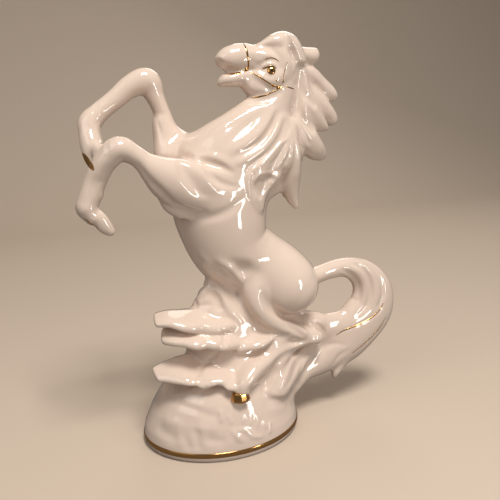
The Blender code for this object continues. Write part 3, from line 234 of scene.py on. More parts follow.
# Creases pressed in (depth above 0) and ridges raised (below 0): the Y of the middle that each is
# repeated about on the far side, or None, then stations (x, y, z, depth, half width).
CREASES = {
    "shoulder_crease": (None, [(-20, -7, 194.5, 0.5, 1.8), (-15, -17, 192.5, 2, 2.3),
        (-8, -18.5, 190.5, 2.6, 2.5), (-1, -20, 188.5, 2, 2.2), (5.5, -21.5, 185, 0.6, 1.7)]),
    "shoulder_ridge": (0, [(-18.5, -6.5, 197.5, -0.5, 2.5), (-9.5, -15, 195.5, -1.1, 2.8),
        (-0.5, -19, 192.5, -1.1, 2.7), (6.5, -21, 188, -0.4, 2.2)]),
    "shoulder_line": (0, [(-10, -23, 184, 0.8, 1.8), (-3.5, -23, 180, 1.5, 2),
        (3.5, -23, 177, 1, 1.8), (9.5, -22.5, 175.5, 0.3, 1.4)]),
    "arm_hollow": (None, [(-27, -21.5, 192.5, 0.8, 2), (-24, -25, 187, 3.2, 3),
        (-20, -26.5, 181, 3.6, 3.3), (-16, -26, 175, 2, 2.8), (-11.5, -25, 172, 0.5, 2)]),
    "arm_muscle": (None, [(-16, -21.5, 189.5, -0.8, 2.6), (-12, -24, 183.5, -1.4, 2.7),
        (-7.5, -24.5, 177, -1.2, 2.8), (-3.5, -24, 173, -0.4, 2.8)]),
    "arm_line": (None, [(-10.5, -21.5, 187.5, 0.4, 1.2), (-6.5, -22, 184, 0.8, 1.4),
        (-2.5, -23, 179.5, 0.6, 1.4), (1.5, -23.5, 176, 0.2, 1.3)]),
    "forearm_crease": (None, [(-50.5, -22.5, 192, 0.4, 1.5), (-45, -23, 184, 1.3, 1.8),
        (-39, -24, 177, 2, 2), (-32.5, -22.5, 169.5, 2.4, 2.1), (-26, -21, 165, 2.4, 2.1),
        (-18, -20.5, 162, 1.6, 2.3), (-11.5, -22, 161, 0.6, 2.2)]),
    "behind_arm": (0, [(-17, -19, 157, 0.6, 2.6), (-9, -22, 158, 1.1, 2.8),
        (-0.5, -24, 160.5, 1.2, 2.8), (7.5, -23.5, 164.5, 0.9, 2.6), (14.5, -22, 169.5, 0.4, 2.2)]),
    "flank_hollow": (0, [(6.5, -21.5, 126.5, 1, 3.6), (13, -21, 121.5, 3.6, 4.8),
        (20, -21, 119.5, 1.2, 4)]),
    "flank_fold": (0, [(-4, -19.5, 129.5, -0.4, 2.4), (3, -20, 124, -2, 2.5),
        (9, -19, 117, -1.8, 2.5), (12.5, -17.5, 109, -0.6, 2.4)]),
    "belly_fold": (0, [(-14.5, -14, 133.5, -0.2, 2), (-10, -15, 128, -0.6, 2.2),
        (-5.5, -14, 120, -0.3, 2)]),
    "thigh_crease": (0, [(23.5, -23.5, 107.5, 0.6, 2.2), (25.5, -24, 100.5, 2.4, 2.6),
        (31.5, -22.5, 92, 2.6, 2.8), (42, -16.5, 84, 1.4, 2.6), (53.5, -7, 78.5, 0.4, 2.2)]),
    "neck_ridge1": (-1, [(22, -11, 221.5, -0.36, 1.6), (13, -11.5, 216.5, -0.9, 1.8),
        (2.5, -11.5, 211, -0.9, 2), (-5.5, -12, 205.5, -0.36, 2)]),
    "neck_groove1": (-1, [(29.5, -13.5, 220, 0.36, 2), (19.5, -15, 213, 1.62, 2.6),
        (12.5, -16.5, 208, 1.08, 2.6), (4, -17.5, 202, 0.36, 2.4)]),
    "neck_ridge2": (-1, [(36.5, -13, 221, -0.54, 1.8), (31, -15.5, 212.5, -1.26, 2),
        (23.5, -17.5, 205.5, -1.26, 2.2), (15, -19, 200.5, -0.72, 2.2), (7.5, -19, 198, -0.18, 2)]),
    "neck_groove2": (-1, [(40, -13, 219.5, 0.54, 1.6), (35, -15.5, 211.5, 1.44, 1.8),
        (27.5, -18, 203, 1.44, 2), (17.5, -19.5, 197.5, 1.08, 2), (8, -20, 193.5, 0.36, 2)]),
    "neck_ridge3": (-1, [(42, -13.5, 216, -0.54, 1.8), (36.5, -16, 207.5, -1.44, 2),
        (28.5, -18.5, 199, -1.62, 2.2), (19, -20, 193, -1.26, 2.2), (10.5, -21, 190, -0.54, 2)]),
    "neck_groove3": (-1, [(45.5, -13, 214.5, 0.54, 1.4), (40.5, -16.5, 205, 1.44, 1.6),
        (32, -19.5, 196, 1.62, 1.6), (23.5, -20.5, 190, 1.44, 1.6), (16.5, -21, 185, 0.54, 1.6)]),
    "hair_edge": (None, [(48.5, -13.5, 208, -0.4, 1), (45, -15.5, 203, -0.9, 1),
        (39.5, -17.5, 200, -1, 1), (33.5, -19.5, 195, -1, 1), (26, -21, 189, -1, 1.1),
        (20, -21, 186, -0.6, 1.2)]),
    "hair_groove1": (None, [(43, -16.5, 198.5, 0.3, 1), (38.5, -17.5, 192.5, 1, 1.1),
        (32.5, -19.5, 188, 0.6, 1.1)]),
    "hair_ridge2": (None, [(47.5, -14.5, 206, -0.3, 0.9), (45.5, -16.5, 198, -0.8, 0.9),
        (41.5, -18, 190, -0.9, 1), (36.5, -17.5, 185.5, -0.8, 1), (31, -18.5, 182.5, -0.3, 1)]),
    "hair_groove2": (None, [(47, -15.5, 201.5, 0.2, 0.8), (45.5, -17, 193, 0.8, 0.9),
        (42, -18, 185.5, 0.6, 1), (36.5, -17.5, 181.5, 0.3, 1)]),
    "hair_ridge3": (None, [(48.5, -14.5, 205.5, -0.3, 0.9), (48.5, -16, 196, -0.8, 0.9),
        (47.5, -14.5, 185.5, -0.7, 1), (42, -16, 180.5, -0.4, 1.1), (34, -17.5, 176.5, -0.3, 1.2)]),
    "hair_groove3": (None, [(50.5, -14.5, 203.5, 0.3, 0.9), (51, -15.5, 194.5, 0.8, 0.9),
        (51, -14, 185.5, 0.5, 1), (49.5, -11.5, 176, 0.3, 1)]),
    "hair_ridge4": (None, [(50.5, -13, 209.5, -0.3, 0.9), (53, -14.5, 199, -0.7, 0.9),
        (54.5, -14, 189, -0.6, 1), (54, -12, 178.5, -0.3, 1)]),
    "curl_outer": (None, [(19.5, -21, 185.5, -0.5, 1.2), (17, -21.5, 180.5, -0.9, 1.3),
        (17, -21.5, 173, -0.9, 1.3), (19, -20.5, 166.5, -0.6, 1.3), (23, -19, 159.5, -0.3, 1.2)]),
    "curl_groove1": (None, [(20, -21.5, 182, 0.5, 1.2), (19, -21.5, 175.5, 0.9, 1.2),
        (20.5, -21, 168.5, 0.5, 1.2)]),
    "curl_inner": (None, [(22.5, -21, 173.5, -0.5, 1.1), (21.5, -21.5, 178.5, -0.9, 1.2),
        (24.5, -21, 182, -1, 1.2), (31, -18.5, 182.5, -0.9, 1.2), (37, -17.5, 180, -0.5, 1.2)]),
    "curl_groove2": (None, [(25, -19.5, 171.5, 0.5, 1.4), (24, -20.5, 177, 1.2, 1.5),
        (29, -18, 179, 1.1, 1.4), (34.5, -17.5, 178, 0.5, 1.3)]),
    "lock_ridge5": (5, [(53.5, -6, 215.5, -0.4, 1), (55.5, -8.5, 208, -0.8, 1.1),
        (62.5, -6.5, 198, -0.5, 1.2), (70.5, -3, 191.5, -0.2, 1.2)]),
    "lock_groove5": (5, [(56, -6.5, 215, 0.3, 1), (59.5, -8, 207, 1, 1.1),
        (64.5, -6.5, 199.5, 0.6, 1.2)]),
    "lock_groove6": (5, [(50.5, -13, 209.5, 0.3, 0.9), (52.5, -14, 202.5, 1, 1),
        (60, -7, 195.5, 0.6, 1)]),
    "lock_groove1": (5, [(55.5, -8, 243, 1.25, 1.9), (59, -7.5, 247, 2.25, 1.9),
        (70, 3, 249, 1, 1.6)]),
    "lock_groove2": (5, [(57, -6.5, 236.5, 2, 2.2), (62, -7, 230.5, 3.25, 2.4),
        (69, -5.5, 224, 1.75, 2.2)]),
    "lock_groove3": (5, [(57.5, -6.5, 220, 1.75, 2), (61.5, -7, 212.5, 2.75, 2.1),
        (67.5, -6.5, 207, 1.25, 1.8)]),
    "lock2_line": (5, [(64.5, -3.5, 244.5, 0.3, 1), (73.5, 2.5, 238.5, 0.6, 1.1),
        (81.5, 5, 232, 0.3, 1)]),
    "lock3_line": (5, [(67, -6, 226.5, 0.3, 1), (75, -2.5, 220, 0.6, 1.1),
        (86, 5.5, 213.5, 0.3, 1)]),
    "lock4_line": (5, [(60, -7, 229.5, 0.2, 1.2), (64.5, -6.5, 220.5, 0.6, 1.3),
        (71.5, -4, 212.5, 0.3, 1.2)]),
    "cheek_hollow": (-1, [(21.5, -8, 241.5, 0.6, 2.2), (24.5, -9, 239, 1.6, 3),
        (27.5, -10, 235.5, 1.2, 2.8)]),
    "brow_hollow": (-1, [(29, -8.5, 247.5, 0.3, 1.3), (32, -9.5, 249.5, 1, 1.3),
        (36.5, -10.5, 251, 1.2, 1.2), (40.5, -11.5, 249.5, 0.9, 1.2), (43, -11, 246, 0.4, 1.2)]),
    "lid": (-1, [(31, -8.5, 246.5, -0.3, 0.9), (33.5, -10, 248, -0.9, 0.9),
        (37.5, -11, 248.5, -1, 0.9), (41, -11, 246.5, -0.5, 0.9)]),
    "under_eye": (-1, [(31, -9.5, 244.5, 0.4, 0.9), (33, -11.5, 242, 0.9, 0.9),
        (36.5, -12, 241, 0.8, 0.9), (40, -12, 243, 0.4, 0.8)]),
    "face_ridge": (-1, [(22.5, -8.5, 255.5, -0.2, 1.4), (29, -8.5, 255, -0.5, 1.4),
        (35, -10.5, 253.5, -0.4, 1.4)]),
    "face_hollow": (-1, [(25, -8.5, 250, 0.5, 1.8), (29.5, -9, 248, 0.6, 1.8)]),
    "lip_under": (-1, [(4.5, -3.5, 250, 0.9, 1.6), (8, -5, 247.5, 1.7, 2.2),
        (13, -5.5, 245.5, 1.5, 2.1), (17, -6.5, 244.5, 0.7, 1.4)]),
    "mouth_corner": (-1, [(18.5, -6.5, 244.5, 0.4, 1), (19.5, -8.5, 241.5, 0.6, 1.1),
        (19.5, -7, 237.5, 0.4, 1.1)]),
    "crown_groove": (0, [(47.5, -9.5, 265, 1.35, 1.6), (49, -11, 260, 4.32, 2.2),
        (52, -9.5, 253.5, 3.78, 2.2), (53.5, -9.5, 247.5, 1.08, 1.7)]),
    "forelock_groove": (0, [(33.5, -7.5, 259.5, 0.6, 1.6), (37.5, -9.5, 257.5, 1.7, 1.9),
        (41, -11, 254, 1.8, 1.9), (43, -11.5, 249.5, 0.8, 1.6)]),
    "hock_ridge1": (None, [(60.5, -3, 78, -0.6, 1.2), (64.5, -8, 73.5, -1.5, 1.3),
        (67, -14, 69.5, -1.2, 1.3), (68, -16.5, 65.5, -0.4, 1.1)]),
    "hock_ridge2": (None, [(43.5, -18, 82, -0.4, 1.2), (51, -17.5, 76, -1.2, 1.3),
        (57.5, -18, 70, -1, 1.3)]),
    "hock_groove1": (None, [(53.5, -8, 77.5, 0.7, 1.2), (57.5, -13, 74.5, 1.8, 1.4),
        (62, -16, 70, 1.6, 1.4), (64, -17.5, 66, 0.6, 1.2)]),
    "hock_groove2": (None, [(40, -22, 80, 0.5, 1.2), (47.5, -20.5, 75, 1.2, 1.3),
        (54, -19, 69.5, 0.8, 1.2)]),
    "under_cannon": (None, [(60.5, -16, 59, 1.2, 2), (50.5, -19, 58.5, 2, 2.2),
        (40, -24.5, 58.5, 2.6, 2.6), (32, -27, 55, 2.8, 2.8), (29, -26, 48, 2.6, 2.8),
        (24.5, -27, 42, 1.9, 2.4), (21, -29.5, 38.5, 1, 2)]),
    "fold_ridge1": (None, [(59.5, -8.5, 54, -0.5, 1.4), (46.5, -19, 50.5, -1, 1.6),
        (39, -26, 44.5, -0.8, 1.6), (33, -30, 38.5, -0.5, 1.6)]),
    "fold_groove1": (None, [(62.5, -9.5, 51.5, 0.5, 1.4), (52, -17.5, 47.5, 1.3, 1.6),
        (44, -25, 41.5, 1, 1.6), (38.5, -28.5, 38, 0.4, 1.6)]),
    "fold_ridge2": (None, [(68, -7.5, 49.5, -0.4, 1.6), (57, -15, 43, -1, 1.8),
        (53.5, -11.5, 31.5, -0.5, 1.8)]),
    "fold_edge": (None, [(31.5, -27, 54, -0.5, 1.3), (30.5, -27, 45, -0.7, 1.3),
        (26, -29, 39, -0.6, 1.3), (28.5, -30.5, 35, -0.4, 1.2)]),
    "tail_groove1": (1.5, [(92, -5.5, 108.5, 0.68, 1.4), (101, -4.5, 102.5, 2.16, 1.6),
        (106.5, -3, 93.5, 2.43, 1.7), (107, -2.5, 85, 1.76, 1.7), (102.5, -3, 78, 0.68, 1.6)]),
    "tail_groove2": (1.5, [(98.5, -4, 113, 0.54, 1.4), (108.5, -5, 107.5, 2.29, 1.7),
        (114, -5.5, 98, 2.7, 1.8), (115.5, -5.5, 88, 2.29, 1.8), (112.5, -5.5, 78, 1.49, 1.8),
        (104.5, -6, 71.5, 0.54, 1.6)]),
    "tail_groove3": (1.5, [(109, -1.5, 113.5, 0.54, 1.4), (119, -3, 106.5, 2.29, 1.6),
        (124.5, -5, 97, 2.56, 1.7), (126, -6, 86, 2.43, 1.7), (123, -6.5, 77, 1.49, 1.7)]),
    "tail_line1": (1.5, [(127, -5.5, 78.5, 0.5, 0.9), (122, -6.5, 72, 0.8, 0.9),
        (112, -7, 67.5, 0.8, 0.9), (101, -7.5, 64.5, 0.7, 0.9), (92.5, -7, 62, 0.5, 0.9),
        (87, -6, 59, 0.3, 0.9)]),
    "tail_line2": (1.5, [(130, -4.5, 66, 0.5, 0.9), (124, -5, 57.5, 0.8, 0.9),
        (113, -6, 49.5, 0.7, 0.9), (100.5, -7, 43, 0.3, 0.9)]),
    "tail_groove4": (1.5, [(72.5, -6.5, 45.5, 0.4, 1.6), (78, -5.5, 50.5, 1, 1.8),
        (85.5, -6.5, 52.5, 0.8, 1.8), (94.5, -8, 51, 0.3, 1.8)]),
    "tail_groove5": (1.5, [(96.5, -8, 46.5, 0.3, 1.6), (89, -8, 43, 0.8, 1.6),
        (84.5, -7.5, 36.5, 0.5, 1.4)]),
    "tail_notch": (None, [(72, -7.5, 70, 1.2, 1.4), (76.5, -6.5, 64.5, 1.6, 1.5),
        (78.5, -5.5, 60, 0.6, 1.3)]),
    "rock_wave": (-4, [(-23, 3, 94, -0.4, 2), (-15.5, -1.5, 99, -0.9, 2), (-10.5, -5, 105, -1.1, 2),
        (-5.5, -6.5, 108, -1.3, 2), (-1.5, -9, 105.5, -1.9, 2), (1.5, -12.5, 99.5, -2, 2.2),
        (4.5, -15, 92.5, -1.8, 2.3), (10, -17, 85.5, -0.8, 2.4)]),
    "rock_wave_in": (-4, [(-7.5, -8, 104.5, 0.8, 2), (-4, -10.5, 101.5, 2.4, 2.4),
        (-3, -13, 95.5, 1.8, 2.4)]),
    "rock_shelf": (-4, [(-18.5, 4.5, 93.5, 0.3, 1.4), (-14, -6.5, 96.5, 0.8, 1.5),
        (-7.5, -11, 97.5, 0.6, 1.5)]),
    "slab34": (-4, [(-7, -19.5, 66.5, 0.8, 1.5), (-14, -18, 60, 2.3, 1.7),
        (-21.5, -22.5, 56.5, 2.3, 1.7), (-26.5, -27.5, 54, 1.2, 1.6)]),
    "under_slab4": (None, [(-25.5, -29, 51, 0.8, 2), (-17, -24.5, 44.5, 1.5, 2.2),
        (-10, -33.5, 49, 1.3, 2.2), (-3, -33.5, 51, 0.6, 2)]),
    "under_slab3": (-4, [(-39.5, 0.5, 40, 1.3, 2.4), (-34.5, -10.5, 42, 2, 2.6),
        (-27.5, -16.5, 44.5, 1.1, 2.4)]),
    "terrace": (-4, [(-41, -10, 36, 0.3, 2.5), (-33, -22, 35.5, 1, 2.4), (-26, -28, 34, 0.8, 2.5),
        (-19, -33, 31.5, 0.8, 2.5), (-12.5, -35.5, 30, 0.3, 2.3)]),
    "dab1": (None, [(-10.5, -35, 32.5, -1, 1.5), (-10.5, -36.5, 28, -1, 1.5)]),
    "dab2": (None, [(-5.5, -37, 29.5, -0.6, 1.3), (-4.5, -38, 26, -0.6, 1.3)]),
    "dab3": (None, [(4, -38, 27.5, -0.8, 1), (3.5, -39, 24.5, -0.8, 1)]),
    "dab4": (None, [(9, -37.5, 26.5, -0.8, 1), (9, -39, 22.5, -0.8, 1)]),
    "dab5": (None, [(13.5, -37.5, 24.5, -0.8, 1), (13.5, -39, 20.5, -0.8, 1)]),
    "dab6": (None, [(18.5, -37.5, 20.5, -0.8, 1), (19.5, -38.5, 17, -0.8, 1)]),
    "dab7": (None, [(23, -37, 18, -1, 1), (22.5, -39, 13, -1, 1)]),
    "puddle1": (None, [(-4, -40.5, 20, -0.6, 1.5), (-1, -41.5, 16, -1.35, 2),
        (1, -42.5, 13.5, -0.6, 1.6)]),
    "puddle2": (None, [(-0.5, -40, 20.5, -0.6, 1.3), (4.5, -40.5, 19, -0.9, 1.4),
        (9, -41.5, 14.5, -0.9, 1.5), (15.5, -41, 12, -0.45, 1.4)]),
    "dent1": (0, [(-47.5, -18, 18, 0.85, 3.5), (-41.5, -26.5, 16, 1.19, 4)]),
    "dent2": (0, [(-34.5, -31, 18, 0.51, 3), (-32.5, -34.5, 12.5, 1.19, 3)]),
    "dent3": (0, [(-26.5, -34.5, 20, 0.85, 2.4), (-27, -37, 13, 1.19, 2.6)]),
    "dent4": (0, [(-18, -39, 16, 0.85, 3), (-12, -41, 14.5, 0.68, 3)]),
    "dent5": (0, [(23, -32.5, 30.5, 0.51, 3), (33, -30, 27.5, 0.85, 3), (41, -24.5, 22, 0.68, 3)]),
    "bump1": (0, [(-42, -19.5, 25, -0.85, 4), (-37, -25.5, 24.5, -0.68, 4)]),
    "bump2": (0, [(-22.5, -35, 23.5, -0.85, 4), (-17, -36.5, 23.5, -0.68, 4)]),
    "throat_crease": (-1, [(23.5, -6, 227.5, 1.2, 1.6), (27.5, -9.5, 227, 2.6, 2.1),
        (33, -11, 227.5, 2.6, 2.1), (38, -11, 229.5, 1.8, 1.8), (43, -11, 232, 0.7, 1.4)]),
    "jaw_ridge": (-1, [(30.5, -11, 236.5, -0.3, 1.8), (32.5, -10.5, 233.5, -0.6, 2),
        (31, -9, 231.5, -0.3, 1.8)]),
    "nostril": (-1, [(5, -5, 251, 0.9, 0.9), (6.5, -6, 250, 0.7, 0.9)]),
    "nostril_rim": (-1, [(4.5, -4.5, 253.5, -0.3, 1), (6.5, -6, 252.5, -0.4, 1),
        (7.5, -7, 250.5, -0.3, 1)]),
    "shin_line": (None, [(-74, -18.5, 185.5, 0.3, 1.2), (-77, -18, 179, 0.6, 1.3),
        (-79, -18, 173, 0.3, 1.2)]),
    "knee_hollow": (None, [(-67, -19, 205, 0.3, 1.2), (-67, -22, 201, 0.6, 1.3),
        (-69, -21.5, 197, 0.3, 1.2)]),
    "shin_groove": (None, [(-66, -22.5, 197, 0.3, 1.4), (-69, -20, 190, 0.6, 1.5),
        (-71.5, -18, 183, 0.5, 1.4)]),
    "far_knee": (None, [(-76.5, 5, 217.5, 0.3, 1), (-76, 3, 213.5, 0.7, 1.1),
        (-77, 1.5, 210, 0.3, 1)]),
    "far_knee_back": (None, [(-66, 8, 226.5, -0.3, 1.2), (-67, 6.5, 222, -0.6, 1.2),
        (-68, 6, 218.5, -0.3, 1.2)]),
    "far_shin_top": (None, [(-67.5, 12.5, 230.5, -0.2, 1.2), (-71.5, 9, 225, -0.4, 1.3)]),
    "far_arm_line": (None, [(-37, 7.5, 238, 0.3, 1.2), (-35.5, 8.5, 234.5, 0.5, 1.3),
        (-36.5, 10.5, 230.5, 0.2, 1.2)]),
    "far_arm_groove": (None, [(-32.5, 10, 217.5, 0.3, 1.3), (-31.5, 7.5, 210.5, 0.8, 1.4),
        (-30.5, 4.5, 203, 0.5, 1.4)]),
    "far_arm_ridge": (None, [(-30, 9.5, 228.5, -0.3, 1.2), (-28.5, 9.5, 222.5, -0.4, 1.3)]),
    "stifle_hollow": (None, [(7, -14, 108, 1.2, 3), (11.5, -16.5, 98.5, 2.6, 3.4),
        (16, -20, 89.5, 3.2, 3.4), (24, -20.5, 79, 3.4, 3.2), (32.5, -23, 74.5, 2.6, 2.8),
        (42, -21.5, 71.5, 1, 2.2)]),
    "curl_hollow": (None, [(24, -21, 179.5, 1.2, 2), (23, -21, 174.5, 2.8, 2.4),
        (25, -19.5, 169, 1.8, 2)]),
    "tongue_edge": (None, [(21, -30.5, 36.5, 0.7, 1.6), (26, -31.5, 32, 1.5, 1.8),
        (33.5, -30, 30, 1.6, 1.8), (46.5, -17, 25, 1.2, 1.8), (53, -12, 28.5, 0.4, 1.6)]),
    "mane_valley": (None, [(56.5, -8.5, 250, 1.13, 2.2), (58.5, -7, 243, 4.16, 2.86),
        (58.5, -6.5, 233, 4.91, 2.86), (57.5, -6, 223, 3.02, 2.42), (56, -6.5, 217, 0.94, 1.98)]),
    "hock_groove3": (None, [(64, -2.5, 78.5, 0.5, 1.2), (68, -7, 74.5, 1.3, 1.4),
        (73.5, -7.5, 68, 1, 1.4)]),
    "lock_hollow": (None, [(44, -17.5, 191, 0.5, 1.8), (42, -18, 185, 1.9, 2.4),
        (43, -10.5, 177, 2, 2.4), (43.5, -9, 172.5, 0.8, 1.8)]),
    "slab_end": (None, [(-3.5, -23, 84, 0.5, 1.4), (-2.5, -23, 78.5, 1.4, 1.6),
        (-5.5, -29, 76, 1.6, 1.7), (-8.5, -29.5, 73, 1, 1.6)]),
    "strap_hollow": (-1, [(24, -8.5, 241.5, 0.6, 1.6), (27.5, -10, 239, 2, 2),
        (31.5, -11, 236, 2.1, 2), (36, -10.5, 234, 0.8, 1.6)]),
}

# Gold lines: the middle that each is repeated about, then stations (x, y, z, width).
LINES = {
    "noseband": (-1, [(21.75, -1, 261.5, 0.7), (21.5, -5.75, 260, 0.7), (21.75, -8, 257.25, 1.2),
        (22.25, -9, 253.25, 1.2), (23, -7.75, 248.75, 1.2), (23.25, -5.75, 246, 1)]),
    "bit": (-1, [(9, -3.75, 243.75, 1.2), (12.25, -5.75, 243.75, 2), (16.25, -7, 244, 1.9),
        (19.5, -7, 244.5, 1.4), (23, -5.75, 245.25, 1.3)]),
    "cheek_strap": (-1, [(24.25, -6.5, 244.5, 0.8), (26.75, -8.75, 242.5, 0.8),
        (30, -10.75, 240.25, 0.8), (34.5, -11.75, 237.25, 0.8), (39, -11.25, 235.25, 0.9)]),
    "knot": (-1, [(39, -11.25, 235.5, 0.9), (42, -10.5, 234, 1.4), (44.75, -10.5, 235.25, 0.9)]),
    "strap_end": (-1, [(46.75, -10.25, 235.25, 0.6), (50.5, -9.5, 234.25, 0.8),
        (55, -7, 233.5, 0.5)]),
    "head_strap": (-1, [(47.25, -11.25, 250, 0.4), (46, -11.25, 246.25, 0.5),
        (44.5, -11.75, 241.5, 0.5), (44.25, -11, 237.75, 0.5)]),
    "throat_strap": (-1, [(24.75, -5.75, 228.75, 0.7), (28.75, -8.75, 229, 1.1),
        (33.75, -10.25, 230, 0.8), (37, -10.5, 231.5, 0.8), (39.75, -10.75, 232.5, 0.7),
        (43, -10.5, 234.5, 0.6)]),
    "brow_line": (-1, [(32.75, -10, 250.75, 0.3), (35.25, -10.5, 252, 0.6), (37.75, -11, 252, 0.6),
        (40.5, -11.25, 251.25, 0.6), (42, -11.25, 250, 0.3)]),
    "lid_line": (-1, [(31.25, -9, 245.75, 0.5), (33, -9.5, 246.25, 1), (35.5, -10.25, 247, 1.1),
        (38, -10.75, 247.25, 0.8), (40, -11, 245.75, 0.4)]),
    "tail_line1": (1.5, [(127, -5.75, 78.75, 0.4), (121.75, -6.25, 72.25, 1.1),
        (112, -7, 67.25, 1.2), (100.75, -7.25, 64.25, 1.2), (92.75, -6.75, 62, 0.9),
        (87.25, -6, 59, 0.4)]),
    "tail_line2": (1.5, [(130, -4.5, 66.25, 0.4), (124, -5.25, 57.5, 1), (113, -6.25, 49.75, 1.1),
        (100.5, -7, 43, 0.5)]),
    "hoof_line": (None, [(-82.75, -15.75, 162.25, 0.4), (-80.75, -16, 160.5, 0.9),
        (-78, -15, 158, 1), (-75.25, -15, 155, 0.5)]),
}

# Gold dots, on both sides of the head: centre, radius, rise, length over width and tilt.
DOTS = {
    "bit_ring": (22.25, -6, 245.75, 1.3, 0.6, 1, 0),
    "eye": (36.75, -11, 244.75, 2.5, 0.9, 1.1, 0),
    "stud_front": (39.75, -12.25, 238.75, 0.5, 0.3, 1, 0),
    "stud_back": (44.25, -11, 238.25, 0.7, 0.35, 1, 0),
    "stud_low": (37.5, -11.5, 235.5, 0.8, 0.3, 1.3, -0.6),
    "clasp": (41.5, -10.75, 234.5, 1.2, 0.4, 1.3, 0.6),
}


def smooth_path(rows, step):
    """Catmull-Rom curve through the rows, each span cut into equal steps about this long:
    half of (2b + (c-a)t + (2a-5b+4c-d)t^2 + (3b-a-3c+d)t^3)."""
    p = np.array(rows, float)
    q = np.vstack([2 * p[0] - p[1], p, 2 * p[-1] - p[-2]])
    spans = []
    for a, b, c, d in zip(q, q[1:], q[2:], q[3:]):
        count = max(1, int(np.ceil(np.linalg.norm((c - b)[:3]) / step)))
        t = (np.arange(count) / count)[:, None]
        spans.append(0.5 * (2 * b + (c - a) * t + (2 * a - 5 * b + 4 * c - d) * t**2
                            + (3 * b - a - 3 * c + d) * t**3))
    return np.vstack(spans + [p[-1:]])


class Clay:
    """The grid of numbers that the figure is shaped in, about the distance to its surface."""

    def __init__(self, low, high, step):
        self.low, self.step = np.array(low, float), step
        size = np.ceil((np.array(high) - self.low) / step).astype(int) + 1
        self.value = np.full(size, FAR_OUT, np.float32)
        self.axes = [self.low[k] + step * np.arange(size[k], dtype=np.float32) for k in range(3)]

    def block(self, low, high):
        """The slices of the grid that hold a box, and its coordinates ready to broadcast."""
        size = np.array(self.value.shape)
        a = np.clip(np.floor((low - self.low) / self.step).astype(int), 0, size)
        b = np.clip(np.ceil((high - self.low) / self.step).astype(int) + 1, 0, size)
        cut = tuple(slice(i, j) for i, j in zip(a, b))
        x, y, z = (self.axes[k][cut[k]] for k in range(3))
        return cut, x[:, None, None], y[None, :, None], z[None, None, :]

    def near_path(self, path, reach, far, measure):
        """Least of measure's first result over the segments of a path, in the box that holds it,
        with the other results where it is least. Where nothing reaches, the values are far."""
        most = reach.max()
        whole = self.block(path[:, :3].min(0) - most, path[:, :3].max(0) + most)[0]
        start = [s.start for s in whole]
        kept = [np.full([s.stop - s.start for s in whole], f, np.float32) for f in far]
        for p, q, r in zip(path, path[1:], np.maximum(reach, np.roll(reach, -1))):
            cut, x, y, z = self.block(np.minimum(p, q)[:3] - r, np.maximum(p, q)[:3] + r)
            if min(s.stop - s.start for s in cut) < 1:
                continue
            along = q[:3] - p[:3]
            t = np.clip(((x - p[0]) * along[0] + (y - p[1]) * along[1] + (z - p[2]) * along[2])
                        / max(along @ along, 1e-9), 0, 1)
            offset = (x - p[0] - t * along[0], y - p[1] - t * along[1], z - p[2] - t * along[2])
            found = measure(p, q, t, offset, along)
            spot = tuple(slice(s.start - o, s.stop - o) for s, o in zip(cut, start))
            better = found[0] < kept[0][spot]
            for old, new in zip(kept, found):
                old[spot] = np.where(better, new, old[spot])
        return whole, kept

    def add(self, soft, stations, power=2, droop=0.0):
        """Joins one form on. With s the offset over the half axes, k is (sum of s^power)^(1/power),
        1 on the surface, and the distance is (k - 1) over the slope of k: an oval at power 2, a
        rounded slab at power 3. A droop lowers the form by that much of the way out from its
        middle. The join is a smooth minimum: the lesser of both, less h^2 soft / 4, where h is 1
        where they meet and 0 where they differ by more than soft."""
        path = smooth_path(stations, FORM_STEP)
        path[:, 3:] = np.maximum(path[:, 3:], THINNEST)

        def oval(p, q, t, offset, along):
            ahead = along / np.linalg.norm(along)
            side = np.array([0.0, 1.0, 0.0]) - ahead[1] * ahead
            side /= np.linalg.norm(side)
            up = np.cross(ahead, side)
            up *= 1.0 if up[2] >= 0 else -1.0
            tall, wide = (p[k] + t * (q[k] - p[k]) for k in (3, 4))
            halves = (tall, wide, np.minimum(tall, wide))
            rise, out, on = (sum(offset[k] * way[k] for k in range(3)) for way in (up, side, ahead))
            parts = [np.abs(part) / half for part, half in
                     zip((rise + droop * np.abs(out), out, on), halves)]
            k = np.maximum(sum(part**power for part in parts) ** (1 / power), 0.01)
            slope = np.sqrt(sum((part**(power - 1) / half)**2 for part, half in zip(parts, halves)))
            return ((k - 1) * k**(power - 1) / (slope + 1e-9),)

        reach = path[:, 3:].max(1) + droop * path[:, 4] + soft + 2 * self.step + 0.5
        cut, (d,) = self.near_path(path, reach, (FAR_OUT,), oval)
        v = self.value[cut]
        h = np.maximum(soft - np.abs(v - d), 0) / soft
        self.value[cut] = np.minimum(v, d) - h * h * soft / 4

    def press(self, rows):
        """Presses a crease in, or raises a ridge where the depth is negative: adds
        depth * e^-(distance / width)^2, from the nearest point of the path."""
        path = smooth_path(rows, CREASE_STEP)
        path[:, 4] = np.maximum(path[:, 4], THINNEST)

        def nearness(p, q, t, offset, along):
            width = p[4] + t * (q[4] - p[4])
            return sum(o * o for o in offset) / width**2, p[3] + t * (q[3] - p[3])

        cut, (far, depth) = self.near_path(path, CREASE_REACH * path[:, 4], (50.0, 0.0), nearness)
        self.value[cut] += depth * np.exp(-far)

    def soften(self):
        """Runs (1, 2, 1) / 4 along each axis, as a glaze rounds what it covers."""
        for axis in range(3):
            v = np.moveaxis(self.value, axis, 0)
            v[1:-1] = v[1:-1] / 2 + (v[:-2] + v[2:]) / 4

    def read(self, points):
        """The value at each point, blended between the eight grid values round it."""
        p = (points - self.low) / self.step
        base = np.clip(np.floor(p).astype(int), 0, np.array(self.value.shape) - 2)
        f = p - base
        out = np.zeros(len(p))
        for corner in np.ndindex(2, 2, 2):
            share = np.prod(np.where(corner, f, 1 - f), axis=1)
            out += share * self.value[tuple((base + corner).T)]
        return out

